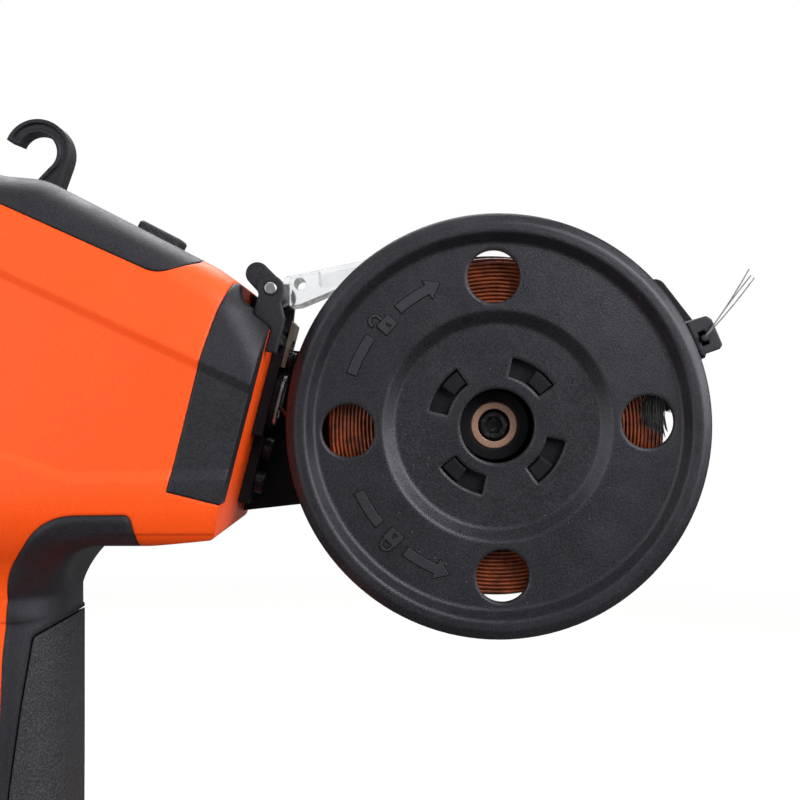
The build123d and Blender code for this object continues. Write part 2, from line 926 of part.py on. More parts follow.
# Fixed lower jaw with the wire's groove round its mouth.
mouth = (mouth_u, mouth_v)
with BuildPart() as lower_jaw:
    with BuildSketch(along()):
        with Locations(mouth):
            Circle(mouth_r + 6)
            Circle(mouth_r, mode=Mode.SUBTRACT)
        with BuildLine():
            Polyline(
                mouth,
                ray(mouth, -15, 60),
                ray(mouth, -60, 80),
                ray(mouth, -110, 80),
                ray(mouth, -145, 60),
                close=True,
            )
        make_face(mode=Mode.INTERSECT)
        with BuildLine():
            Polyline(
                (30, -21),
                (30, -10.4),
                (66.5, -10.4),
                ray(mouth, -145, mouth_r),
                (74, -15),
                (71, -18),
                (62, -16.4),
                close=True,
            )
        make_face()
        with Locations(mouth):
            Circle(mouth_r, mode=Mode.SUBTRACT)
    extrude(amount=jaw_half, both=True)
    with BuildSketch(along()):
        with Locations(mouth):
            Circle(mouth_r + 1.3)
            Circle(mouth_r - 2, mode=Mode.SUBTRACT)
        with BuildLine():
            Polyline(
                mouth,
                ray(mouth, -10, 60),
                ray(mouth, -60, 80),
                ray(mouth, -110, 80),
                ray(mouth, -143, 60),
                close=True,
            )
        make_face(mode=Mode.INTERSECT)
    extrude(amount=0.6, both=True, mode=Mode.SUBTRACT)
    with BuildSketch(across(29)):
        with Locations((0, wire_v)):
            Circle(wire_d / 2 + 0.2)
    extrude(amount=50, mode=Mode.SUBTRACT)
lower_jaw.part.label = "lower_jaw"
export_step(lower_jaw.part, "parts/lower_jaw.step")

# Swinging claw, drawn closed on a plane turned to its open rest.
swing = math.radians(claw_open)
claw_plane = Plane(
    origin=on_axis(claw_u, claw_v),
    x_dir=ahead * math.cos(swing) + upward * math.sin(swing),
    z_dir=(0, 1, 0),
)
grab = (mouth_u - claw_u, mouth_v - claw_v)
with BuildPart() as claw:
    with BuildSketch(claw_plane):
        with BuildLine():
            Polyline(
                *gear_points(claw_teeth, claw_module, 0.75, -90 - claw_open + 180 / claw_teeth),
                close=True,
            )
        make_face()
    extrude(amount=jaw_half, both=True)
    with BuildSketch(claw_plane):
        with Locations(grab):
            Circle(mouth_r + claw_wide)
            Circle(mouth_r, mode=Mode.SUBTRACT)
        with BuildLine():
            Polyline(
                grab,
                ray(grab, 8, 60),
                ray(grab, 50, 80),
                ray(grab, 100, 80),
                ray(grab, 142, 60),
                close=True,
            )
        make_face(mode=Mode.INTERSECT)
        with BuildLine():
            Outline(
                [
                    (-1, 6.4),
                    (8, 6.2, 6),
                    (19.5, 2.2, 4),
                    ray(grab, 141, mouth_r + 0.2),
                    (14, -5.0, 3),
                    (4, -3.0),
                    (-1, -3.0),
                ]
            )
        make_face()
    extrude(amount=jaw_half, both=True)
    with BuildSketch(claw_plane):
        with Locations(grab):
            Circle(mouth_r + 1.3)
            Circle(mouth_r - 2, mode=Mode.SUBTRACT)
        with BuildLine():
            Polyline(
                grab,
                ray(grab, 4, 60),
                ray(grab, 50, 80),
                ray(grab, 100, 80),
                ray(grab, 138, 60),
                close=True,
            )
        make_face(mode=Mode.INTERSECT)
    extrude(amount=0.6, both=True, mode=Mode.SUBTRACT)
    with BuildSketch(claw_plane):
        Circle(claw_pin_d / 2 + running)
    extrude(amount=20, both=True, mode=Mode.SUBTRACT)
claw.part.label = "claw"
export_step(claw.part, "parts/claw.step")

# Rack under the claw's toothed hub.
tooth_pitch = math.pi * claw_module
with BuildPart() as claw_rack:
    with BuildSketch(along()):
        with BuildLine():
            corners = [(claw_u - 9, rack_base), (claw_u - 9, rack_v - rack_ded)]
            for k in range(-2, 4):
                middle = claw_u + k * tooth_pitch
                slope = math.tan(math.radians(20))
                half = tooth_pitch / 4 - 0.06
                corners.append((middle - half - rack_ded * slope, rack_v - rack_ded))
                corners.append((middle - half + rack_add * slope, rack_v + rack_add))
                corners.append((middle + half - rack_add * slope, rack_v + rack_add))
                corners.append((middle + half + rack_ded * slope, rack_v - rack_ded))
            corners.append((claw_u + 10.5, rack_v - rack_ded))
            corners.append((claw_u + 10.5, rack_base))
            Polyline(*corners, close=True)
        make_face()
    extrude(amount=rack_half, both=True)
claw_rack.part.label = "claw_rack"
export_step(claw_rack.part, "parts/claw_rack.step")

# Cutter beside the jaw.
with BuildPart() as cutter:
    with BuildSketch(along(jaw_half + 0.1)):
        with BuildLine():
            Polyline(
                (nose_end + 0.1, -15),
                (nose_end + 0.1, -9),
                (nose_end + 3, -9),
                (nose_end + 6.5, -12.5),
                (nose_end + 6.5, -15),
                close=True,
            )
        make_face()
    extrude(amount=2)
cutter.part.label = "cutter"
export_step(cutter.part, "parts/cutter.step")

# Twister: spindle, and the slotted head at the mouth.
with BuildPart() as twister_spindle:
    with BuildSketch(across(6)):
        Circle(spindle_d / 2)
    extrude(amount=nose_end + 0.4 - 6)
twister_spindle.part.label = "twister_spindle"
export_step(twister_spindle.part, "parts/twister_spindle.step")
with BuildPart() as twister_head:
    with BuildSketch(across(nose_end + 0.4)):
        Circle(head_d / 2)
    extrude(amount=6.4)
    chamfer(twister_head.faces().sort_by(Axis(on_axis(0), ahead))[-1].edges(), 1.2)
    with BuildSketch(across(nose_end + 3.4)):
        Rectangle(1.8, head_d + 2)
        Rectangle(head_d + 2, 1.8)
    extrude(amount=6, mode=Mode.SUBTRACT)
    with BuildSketch(across(nose_end + 3.4)):
        Circle(2.4)
    extrude(amount=6, mode=Mode.SUBTRACT)
twister_head.part.label = "twister_head"
export_step(twister_head.part, "parts/twister_head.step")
with BuildPart() as spindle_bearings:
    for start in (nose_start + 1.5, mid_bearing - 0.2):
        with BuildSketch(across(start)):
            Circle(bearing_r)
            Circle(spindle_d / 2 + running, mode=Mode.SUBTRACT)
        extrude(amount=bearing_long)
spindle_bearings.part.label = "spindle_bearings"
export_step(spindle_bearings.part, "parts/spindle_bearings.step")

# Main motor and its gearbox.
with BuildPart() as gearbox:
    with BuildSketch(across(-30)):
        Circle(gearbox_d / 2)
    extrude(amount=36)
    with BuildSketch(across(6)):
        Circle(9)
    extrude(amount=5)
    chamfer(gearbox.faces().sort_by(Axis(on_axis(0), ahead))[0].edges(), 0.8)
    with BuildSketch(across(5)):
        Circle(spindle_d / 2 + running)
    extrude(amount=10, mode=Mode.SUBTRACT)
    for start in (-24, -16, -8):
        with BuildSketch(across(start)):
            Circle(gearbox_d)
            Circle(gearbox_d / 2 - 0.6, mode=Mode.SUBTRACT)
        extrude(amount=1.2, mode=Mode.SUBTRACT)
gearbox.part.label = "gearbox"
export_step(gearbox.part, "parts/gearbox.step")
with BuildPart() as main_motor:
    with BuildSketch(across(-76)):
        Circle(motor_d / 2)
    extrude(amount=46)
    fillet(main_motor.faces().sort_by(Axis(on_axis(0), ahead))[0].edges(), 2)
    with BuildSketch(across(-80)):
        Circle(5)
    extrude(amount=5)
    for y in (-5.5, 5.5):
        with BuildSketch(across(-82)):
            with Locations((y, 4)):
                Rectangle(1, 3)
        extrude(amount=8)
main_motor.part.label = "main_motor"
export_step(main_motor.part, "parts/main_motor.step")

# Twist-lock retaining disc: raised rim, sunk annulus with four round holes, dish with four arc slots.
web_face = disc_face + 3.0
dish_face = web_face + 2.5
spool_centre = (spool_x, spool_z)
with BuildPart() as locking_disc:
    with BuildSketch(spool_plane):
        with BuildLine():
            Polyline(
                (hub_hole_r, dish_face + 0.2),
                (24.5, dish_face),
                (27.3, web_face),
                (disc_r - 6.6, web_face),
                (disc_r - 4.5, disc_face),
                (disc_r - 2.2, disc_face),
                (disc_r, disc_face + 1.4),
                (disc_r, disc_face + 4),
                (disc_r - 1.5, disc_face + 4),
                (disc_r - 2.8, disc_face + 2.4),
                (disc_r - 3.5, disc_face + 2.4),
                (disc_r - 5.2, web_face + disc_thick),
                (28.2, web_face + disc_thick),
                (25.2, dish_face + disc_thick),
                (hub_hole_r, dish_face + disc_thick),
                close=True,
            )
        make_face()
    revolve(axis=spool_axis)
    with BuildSketch(side(0)):
        for k in range(4):
            with Locations(ray(spool_centre, hole_turn + 90 * k, hole_ring)):
                Circle(hole_r)
    extrude(amount=30, mode=Mode.SUBTRACT)
    for k in range(4):
        with BuildSketch(side(0)):
            with Locations(spool_centre):
                Circle(slot_out)
                Circle(slot_in, mode=Mode.SUBTRACT)
            middle = slot_turn + 90 * k
            with BuildLine():
                Polyline(
                    spool_centre,
                    ray(spool_centre, middle - slot_span / 2, 30),
                    ray(spool_centre, middle + slot_span / 2, 30),
                    close=True,
                )
            make_face(mode=Mode.INTERSECT)
        extrude(amount=30, mode=Mode.SUBTRACT)
locking_disc.part.label = "locking_disc"
export_step(locking_disc.part, "parts/locking_disc.step")

# Hub with the far flange and the four lugs that stand in the disc's slots.
hub_near = dish_face + disc_thick + 0.4
drum_r = core_in - 0.2
with BuildPart() as spool_hub:
    with BuildSketch(spool_plane):
        with BuildLine():
            Polyline(
                (bush_od / 2 + 0.02, coil_far + 2.8),
                (far_flange_r, coil_far + 2.8),
                (far_flange_r, coil_far + 0.8),
                (drum_r, coil_far + 0.6),
                (drum_r, hub_near),
                (10.5, hub_near),
                (10.5, hub_near + 2),
                (drum_r - 2.5, hub_near + 2),
                (drum_r - 2.5, coil_far),
                (8.6, coil_far),
                (8.6, bush_near),
                (bush_od / 2 + 0.02, bush_near),
                close=True,
            )
        make_face()
    revolve(axis=spool_axis)
    for k in range(4):
        with BuildSketch(side(hub_near)):
            with Locations(spool_centre):
                Circle(slot_out - 0.5)
                Circle(slot_in + 0.5, mode=Mode.SUBTRACT)
            start = slot_turn - slot_span / 2 + 1.0 + 90 * k
            with BuildLine():
                Polyline(
                    spool_centre,
                    ray(spool_centre, start, 30),
                    ray(spool_centre, start + lug_span, 30),
                    close=True,
                )
            make_face(mode=Mode.INTERSECT)
        extrude(amount=disc_thick)
    for k in range(3):
        with BuildSketch(side(coil_far + 5)):
            with Locations(ray(spool_centre, 90 + 120 * k, 35)):
                Circle(5)
        extrude(amount=4.5, mode=Mode.SUBTRACT)
spool_hub.part.label = "spool_hub"
export_step(spool_hub.part, "parts/spool_hub.step")

# Sintered bush in the hub, and the shoulder screw it runs on.
with BuildPart() as spool_bush:
    with BuildSketch(spool_plane):
        with BuildLine():
            Polyline(
                (bush_id / 2, bush_near),
                (bush_id / 2, coil_far + 2.8),
                (bush_od / 2, coil_far + 2.8),
                (bush_od / 2, bush_near + 0.4),
                (bush_od / 2 - 0.4, bush_near),
                close=True,
            )
        make_face()
    revolve(axis=spool_axis)
spool_bush.part.label = "spool_bush"
export_step(spool_bush.part, "parts/spool_bush.step")

boss_face = arm_near - 1.6
with BuildPart() as spool_axle:
    with BuildSketch(spool_plane):
        with BuildLine():
            Polyline(
                (0, bush_near + 0.8),
                (bush_id / 2 - 0.8, bush_near + 0.8),
                (bush_id / 2 - running, bush_near + 1.6),
                (bush_id / 2 - running, boss_face),
                (3.0, boss_face),
                (3.0, arm_near + arm_thick + 8),
                (0, arm_near + arm_thick + 8),
                close=True,
            )
        make_face()
    revolve(axis=spool_axis)
    with BuildSketch(side(bush_near + 4)):
        with Locations(spool_centre):
            RegularPolygon(2.3, 6)
    extrude(amount=6, mode=Mode.SUBTRACT)
spool_axle.part.label = "spool_axle"
export_step(spool_axle.part, "parts/spool_axle.step")

with BuildPart() as axle_nut:
    with BuildSketch(side(arm_near + arm_thick + 5.5)):
        with Locations(spool_centre):
            RegularPolygon(5.77, 6)
            Circle(3.02, mode=Mode.SUBTRACT)
    extrude(amount=5.5)
axle_nut.part.label = "axle_nut"
export_step(axle_nut.part, "parts/axle_nut.step")

# Coil of coated wire: a core with the wraps' ridges on its sides, and the outer layer as one tube.
core_out = coil_r - wire_d - 0.1
wraps = int((core_out - core_in) / 1.0)
with BuildPart() as wire_core:
    with BuildSketch(spool_plane):
        with BuildLine():
            corners = [(core_in, coil_far - 0.6)]
            for k in range(wraps):
                corners.append((core_in + k + 0.5, coil_far))
                corners.append((core_in + k + 1.0, coil_far - 0.6))
            corners.append((core_out, coil_far - 0.6))
            corners.append((core_out, coil_near + 0.6))
            for k in reversed(range(wraps)):
                corners.append((core_in + k + 1.0, coil_near + 0.6))
                corners.append((core_in + k + 0.5, coil_near))
            corners.append((core_in, coil_near + 0.6))
            tidy = [corners[0]]
            for corner in corners[1:]:
                if math.dist(corner, tidy[-1]) > 0.01:
                    tidy.append(corner)
            Polyline(*tidy, close=True)
        make_face()
    revolve(axis=spool_axis)
wire_core.part.label = "wire_core"
export_step(wire_core.part, "parts/wire_core.step")

turn_r = coil_r - wire_d / 2
first_turn = -turns * turn_pitch / 2 + 0.2
with BuildPart() as wire_winding:
    with BuildLine() as turn_path:
        Helix(
            pitch=turn_pitch,
            height=turns * turn_pitch,
            radius=turn_r,
            center=(spool_x, first_turn, spool_z),
            direction=(0, 1, 0),
        )
    with BuildSketch(Plane(origin=turn_path.line @ 0, z_dir=turn_path.line % 0)):
        RegularPolygon(wire_d / 2, 4)
    sweep(path=turn_path.line, is_frenet=True)
wire_winding.part.label = "wire_winding"
export_step(wire_winding.part, "parts/wire_winding.step")
samples = [turn_path.line @ (k / (turns * 40)) for k in range(turns * 40 + 1)]
least = min(
    (samples[i] - samples[j]).length
    for i in range(0, len(samples), 4)
    for j in range(i + 20, min(i + 60, len(samples)))
)
print(
    "wire winding: least gap to itself",
    round(least - wire_d, 3),
    "mm, volume",
    round(wire_winding.part.volume, 1),
)

# Wire from the coil through the inlet to the jaw.
with BuildPart() as tie_wire:
    with BuildLine() as wire_path:
        FilletPolyline(wire_touch, wire_bend, wire_bend + ahead * (60 - wire_u), radius=bend_r)
    with BuildSketch(Plane(origin=wire_path.line @ 0, z_dir=wire_path.line % 0)):
        Circle(wire_d / 2)
    sweep(path=wire_path.line)
tie_wire.part.label = "tie_wire"
export_step(tie_wire.part, "parts/tie_wire.step")
run_length = sum(e.length for e in wire_path.edges())
expected = run_length * math.pi * wire_d**2 / 4
print(
    "tie wire: bend radius",
    bend_r,
    "volume",
    round(tie_wire.part.volume, 2),
    "against",
    round(expected, 2),
)

# Spool arm: foot on the rear wall, plate on the far side, boss for the axle, limb to the brush.
limb_r = disc_r + 8.0
with BuildPart() as spool_arm:
    with BuildSketch(side(24)):
        with BuildLine():
            Polyline(
                wall_xz(0, 0),
                wall_xz(0, flange_thick),
                wall_xz(flange_tall, flange_thick),
                wall_xz(flange_tall, 0),
                close=True,
            )
        make_face()
    extrude(amount=30)
    # below the inlet the foot is narrower
    step_s = inlet_s - inlet_tall / 2 - 3
    with BuildSketch(wall_plane(0, -1)):
        with Locations((-3, step_s / 2 - 2)):
            Rectangle(8.4, step_s + 4)
    extrude(amount=flange_thick + 4, mode=Mode.SUBTRACT)
    with BuildSketch(side(arm_near + arm_thick)):
        with BuildLine():
            Outline(
                [
                    wall_xz(-3.5, 0.5),
                    (74, 164.2, 3),
                    (spool_x - 6, 167.5, 20),
                    (spool_x + 12, 171, 12),
                    ray(spool_centre, 14, limb_r - 2) + (5,),
                    ray(spool_centre, 27, limb_r + 1.4) + (1,),
                    ray(spool_centre, 41, limb_r + 0.4) + (3,),
                    ray(spool_centre, 46, limb_r - 12) + (5,),
                    (spool_x + 4, 202, 10),
                    (spool_x - 14, 201, 20),
                    wall_xz(flange_tall, flange_thick),
                    wall_xz(flange_tall, 0.5),
                ]
            )
        make_face()
    extrude(amount=arm_thick)
    with BuildSketch(side(arm_near)):
        with Locations(spool_centre):
            Circle(9)
    extrude(amount=arm_near - boss_face)
    with BuildSketch(side(arm_near + arm_thick)):
        with BuildLine():
            Outline([(84, 178, 5), (104, 178, 5), (104, 192, 5), (84, 192, 5)])
        make_face()
        with BuildLine():
            Outline([(141, 194, 3), (160, 204, 3), (157.5, 209.5, 3), (139, 200, 3)])
        make_face()
    extrude(amount=arm_thick, mode=Mode.SUBTRACT)
    with BuildSketch(side(body_half)):
        with Locations(spool_centre):
            Circle(3.02)
    extrude(amount=40, mode=Mode.SUBTRACT)
    with BuildSketch(wall_plane(inlet_s, -1)):
        SlotOverall(inlet_tall, inlet_wide, rotation=90)
    extrude(amount=8, mode=Mode.SUBTRACT)
    for s in (6, 14):
        with BuildSketch(wall_plane(s, -1, 6)):
            Circle(1.8)
        extrude(amount=8, mode=Mode.SUBTRACT)
spool_arm.part.label = "spool_arm"
export_step(spool_arm.part, "parts/spool_arm.step")

with BuildPart() as arm_screws:
    for s in (6, 14):
        with BuildSketch(wall_plane(s, 0.2, 6)):
            Circle(1.75)
        extrude(amount=flange_thick - 0.2)
        with BuildSketch(wall_plane(s, flange_thick, 6)):
            Circle(3.2)
            RegularPolygon(1.5, 6, mode=Mode.SUBTRACT)
        extrude(amount=2.2)
    for y in (-3, 3):
        with BuildSketch(wall_plane(flange_tall - 2.6, flange_thick + 0.03, y)):
            Circle(1.05)
        extrude(amount=1.17)
        with BuildSketch(wall_plane(flange_tall - 2.6, flange_thick + 1.2, y)):
            Circle(1.9)
        extrude(amount=1.2)
arm_screws.part.label = "arm_screws"
export_step(arm_screws.part, "parts/arm_screws.step")

# Wire inlet: oblong bush and its bright eyelet.
with BuildPart() as inlet_bush:
    with BuildSketch(wall_plane(inlet_s, -4)):
        SlotOverall(inlet_tall - 0.06, inlet_wide - 0.06, rotation=90)
    extrude(amount=4 + flange_thick)
    with BuildSketch(wall_plane(inlet_s, flange_thick)):
        SlotOverall(inlet_tall + 2.4, inlet_wide + 2.4, rotation=90)
    extrude(amount=1.2)
    with BuildSketch(wall_plane(inlet_s, -5)):
        SlotOverall(inlet_tall - 4, inlet_wide - 4, rotation=90)
    extrude(amount=12, mode=Mode.SUBTRACT)
inlet_bush.part.label = "inlet_bush"
export_step(inlet_bush.part, "parts/inlet_bush.step")
with BuildPart() as inlet_eyelet:
    with BuildSketch(wall_plane(inlet_s, flange_thick + 1.2)):
        SlotOverall(inlet_tall, inlet_wide, rotation=90)
        SlotOverall(inlet_tall - 3.6, inlet_wide - 3.6, rotation=90, mode=Mode.SUBTRACT)
    extrude(amount=0.8)
inlet_eyelet.part.label = "inlet_eyelet"
export_step(inlet_eyelet.part, "parts/inlet_eyelet.step")

# Tension lever: bracket, pin, thumb tab, clear arm, guide plate with screws.
pin_at = (pin_x, pin_z)
ledge_run = (Vector(ledge_out[0] - ledge_in[0], ledge_out[1] - ledge_in[1])).normalized()


def on_ledge(t, n):
    """A point t down the ledge and n above it, as seen from the side."""
    x = ledge_in[0] + ledge_run.X * t - ledge_run.Y * n
    z = ledge_in[1] + ledge_run.Y * t + ledge_run.X * n
    return (x, z)


with BuildPart() as lever_bracket:
    foot_near = wall_xz(flange_tall, 0.3)
    foot_far = wall_xz(flange_tall, flange_thick)
    # near cheek, with its lug on the ledge and its leg down the wall
    with BuildSketch(side(cheek_thick - near_cheek)):
        with Locations(pin_at):
            Circle(3.05)
        with BuildLine():
            Polyline(
                (pin_x - 2.7, pin_z - 1.2),
                (65.98, 212.0),
                on_ledge(0.06, 0.03),
                on_ledge(5.0, 0.03),
                wall_xz(flange_tall - 2.4, 0.12),
                wall_xz(flange_tall - 2.4, 2.7),
                (72.9, 209.8),
                (72.0, 213.3),
                (pin_x + 2.95, pin_z - 0.3),
                (pin_x, pin_z),
                close=True,
            )
        make_face()
    extrude(amount=cheek_thick)
    # far cheek and the foot
    with BuildSketch(side(cheek_gap + cheek_thick)):
        with Locations(pin_at):
            Circle(3.4)
        with BuildLine():
            Polyline((pin_x - 3.2, pin_z + 1), (pin_x + 3.2, pin_z + 1), foot_far, foot_near, close=True)
        make_face()
    extrude(amount=cheek_thick)
    with BuildSketch(side(cheek_gap + cheek_thick)):
        with BuildLine():
            Polyline(
                foot_near,
                foot_far,
                (foot_far[0] - 0.9, foot_far[1] + 3.2),
                (foot_near[0] - 0.1, foot_near[1] + 3.4),
                close=True,
            )
        make_face()
    extrude(amount=2 * (cheek_gap + cheek_thick))
    # bar along the ledge that ties the cheeks
    with BuildSketch(side(cheek_gap + cheek_thick)):
        with BuildLine():
            Polyline(
                on_ledge(0.8, 0.03),
                on_ledge(5.4, 0.03),
                on_ledge(5.4, 1.8),
                on_ledge(0.8, 1.8),
                close=True,
            )
        make_face()
    extrude(amount=cheek_gap + cheek_thick + near_cheek)
    with BuildSketch(side(20)):
        with Locations(pin_at):
            Circle(pin_d / 2 + 0.02)
    extrude(amount=45, mode=Mode.SUBTRACT)
    add(form.part, mode=Mode.SUBTRACT)
lever_bracket.part.label = "lever_bracket"
export_step(lever_bracket.part, "parts/lever_bracket.step")
print("bracket", len(lever_bracket.part.solids()))

with BuildPart() as lever_pin:
    with BuildSketch(side(cheek_gap + cheek_thick + 0.6)):
        with Locations(pin_at):
            Circle(pin_d / 2)
    extrude(amount=cheek_gap + cheek_thick + near_cheek + 1.2)
    chamfer(lever_pin.faces().sort_by(Axis.Y)[0].edges(), 0.3)
lever_pin.part.label = "lever_pin"
export_step(lever_pin.part, "parts/lever_pin.step")

with BuildPart() as tension_arm:
    arm_top = spool_z + coil_r + 5.4
    with BuildSketch(side(arm_half)):
        with BuildLine():
            Outline(
                [
                    (pin_x + 1.5, 221.0, 1),
                    (90, 224.9, 60),
                    (117, arm_top - 0.4, 2),
                    (117, arm_top - 4.0, 1),
                    (104, arm_top - 7.0, 40),
                    (86, 219.0, 40),
                    (75.0, 214.4, 1.5),
                    (pin_x + 2.2, 214.0, 0.8),
                ]
            )
        make_face()
        with Locations(pin_at):
            Circle(3.4)
        with Locations((75.0, 219.4)):
            Circle(1.45, mode=Mode.SUBTRACT)
    extrude(amount=2 * arm_half)
    with BuildSketch(side(arm_half - 1.6)):
        with BuildLine():
            Outline([(79.5, 230), (79.5, 218.2, 1), (88, 220.8, 30), (114, arm_top - 3.4, 1), (114, 240)])
        make_face()
    extrude(amount=2 * arm_half - 3.2, mode=Mode.SUBTRACT)
    with BuildSketch(side(tab_half + 0.1)):
        with Locations((pin_x - 1.6, pin_z + 0.5)):
            Rectangle(8.8, 13)
    extrude(amount=2 * tab_half + 0.2, mode=Mode.SUBTRACT)
    with BuildSketch(side(20)):
        with Locations(pin_at):
            Circle(pin_d / 2 + running)
    extrude(amount=40, mode=Mode.SUBTRACT)
tension_arm.part.label = "tension_arm"
export_step(tension_arm.part, "parts/tension_arm.step")

# Thumb tab: one lobe across the whole bracket, with room for the arm's near eye.
tab_r = 2.7
lobe_at = (pin_x - 3.4, pin_z + 3.7)
tab_side = Vector(3.7, 3.4).normalized() * tab_r
with BuildPart() as thumb_tab:
    for top, long, kind in (
        (tab_half, 2 * tab_half, "tongue"),
        (-tab_half, arm_half + 0.3 - tab_half, "clear"),
        (-arm_half - 0.3, near_cheek - cheek_thick - 0.4 - arm_half - 0.3, "plain"),
    ):
        with BuildSketch(side(top)):
            with Locations(pin_at, lobe_at):
                Circle(tab_r)
            with BuildLine():
                Polyline(
                    (pin_x + tab_side.X, pin_z + tab_side.Y),
                    (lobe_at[0] + tab_side.X, lobe_at[1] + tab_side.Y),
                    (lobe_at[0] - tab_side.X, lobe_at[1] - tab_side.Y),
                    (pin_x - tab_side.X, pin_z - tab_side.Y),
                    close=True,
                )
            make_face()
            if kind == "tongue":
                with Locations((pin_x + 1.35, pin_z)):
                    Rectangle(2.7, 2 * tab_r)
            if kind == "clear":
                with Locations(pin_at):
                    Circle(3.9, mode=Mode.SUBTRACT)
        extrude(amount=long)
    with BuildSketch(side(20)):
        with Locations(pin_at):
            Circle(pin_d / 2 + running)
    extrude(amount=45, mode=Mode.SUBTRACT)
thumb_tab.part.label = "thumb_tab"
export_step(thumb_tab.part, "parts/thumb_tab.step")
print("tab", len(thumb_tab.part.solids()))

with BuildPart() as guide_plate:
    with BuildSketch(side(5)):
        with BuildLine():
            Polyline(
                wall_xz(flange_tall - 5.0, flange_thick + 0.02),
                wall_xz(flange_tall - 5.0, flange_thick + 1.2),
                wall_xz(flange_tall + 5.8, flange_thick + 1.2),
                wall_xz(flange_tall + 6.6, flange_thick + 0.02),
                close=True,
            )
        make_face()
    extrude(amount=10)
    with BuildSketch(wall_plane(flange_tall + 1.2, 0)):
        SlotOverall(6, 1.6)
    extrude(amount=10, mode=Mode.SUBTRACT)
    for y in (-3, 3):
        with BuildSketch(wall_plane(flange_tall - 2.6, 0, y)):
            Circle(1.1)
        extrude(amount=10, mode=Mode.SUBTRACT)
guide_plate.part.label = "guide_plate"
export_step(guide_plate.part, "parts/guide_plate.step")

# Brush that drags on the coil: holder across the rim, bristles, loose filaments.
clear_r = disc_r + 0.8
brush_turn = 19.0
brush_root = ray(spool_centre, brush_turn, clear_r + 0.5)
tip_one = ray(spool_centre, -1.0, coil_r + 2.6)
lay = Vector(tip_one[0] - brush_root[0], 0, tip_one[1] - brush_root[1])
tip_two = ray(spool_centre, -0.5, coil_r - 1.2)
lay_two = Vector(tip_two[0] - brush_root[0], 0, tip_two[1] - brush_root[1])
root_plane = Plane(origin=(brush_root[0], 0, brush_root[1]), x_dir=(0, 1, 0), z_dir=lay.normalized())
backing_mid = -1.2
backing_long = 18.6
backing_wide = 2.0
backing_thick = 0.8
pocket_at = ray(spool_centre, 23.2, clear_r + 2.0)
with BuildPart() as brush_seat:
    with BuildSketch(root_plane.offset(-backing_thick)):
        with Locations((backing_mid, 0)):
            Rectangle(backing_long, backing_wide)
    extrude(amount=8)
with BuildPart() as brush_holder:
    with BuildSketch(side(arm_near)):
        with BuildLine():
            Outline(
                [
                    ray(spool_centre, 28.7, clear_r),
                    ray(spool_centre, 28.0, limb_r - 2.4) + (0.8,),
                    ray(spool_centre, 26.6, limb_r - 1.6) + (0.8,),
                    ray(spool_centre, 19.9, limb_r - 1.6) + (0.8,),
                    ray(spool_centre, 19.2, limb_r - 2.6),
                    ray(spool_centre, 19.2, clear_r),
                ]
            )
        make_face()
    extrude(amount=arm_near + 12.5)
    with BuildSketch(side(-8)):
        with Locations(pocket_at):
            Rectangle(1.8, 3.4, rotation=20)
    extrude(amount=5, mode=Mode.SUBTRACT)
    add(brush_seat.part, mode=Mode.SUBTRACT)
brush_holder.part.label = "brush_holder"
export_step(brush_holder.part, "parts/brush_holder.step")

strand = 0.22
with BuildPart() as brush_bristles:
    with BuildSketch(root_plane):
        with Locations((backing_mid, 0)):
            Rectangle(backing_long, backing_wide)
    extrude(amount=-backing_thick)
    with BuildSketch(root_plane.offset(-0.2)):
        with Locations((0, 0)):
            with GridLocations(0.45, 0.4, 36, 5):
                Rectangle(strand, strand)
    extrude(amount=lay.length + 0.2)
    with BuildSketch(root_plane.offset(-0.2)):
        with Locations((-9.35, 0)):
            with GridLocations(0.45, 0.4, 3, 5):
                Rectangle(strand, strand)
    extrude(amount=lay_two.length, dir=lay_two.normalized())
brush_bristles.part.label = "brush_bristles"
export_step(brush_bristles.part, "parts/brush_bristles.step")
print("bristles", len(brush_bristles.part.solids()), "solids", 36 * 5 + 3 * 5, "strands")

# Three loose filaments in a small ferrule in the holder's pocket.
with BuildPart() as brush_filaments:
    with BuildSketch(side(-8.0)):
        with Locations(pocket_at):
            Circle(0.85)
    extrude(amount=5.8)
    for lean, reach, y in ((57, 19.4, -13.1), (53.5, 18.3, -13.4), (50.2, 18.5, -12.85)):
        way = Vector(math.cos(math.radians(lean)), 0, math.sin(math.radians(lean)))
        start = Vector(pocket_at[0], y, pocket_at[1])
        with BuildSketch(Plane(origin=start, x_dir=(0, 1, 0), z_dir=way)):
            RegularPolygon(0.2, 6)
        extrude(amount=reach)
brush_filaments.part.label = "brush_filaments"
export_step(brush_filaments.part, "parts/brush_filaments.step")

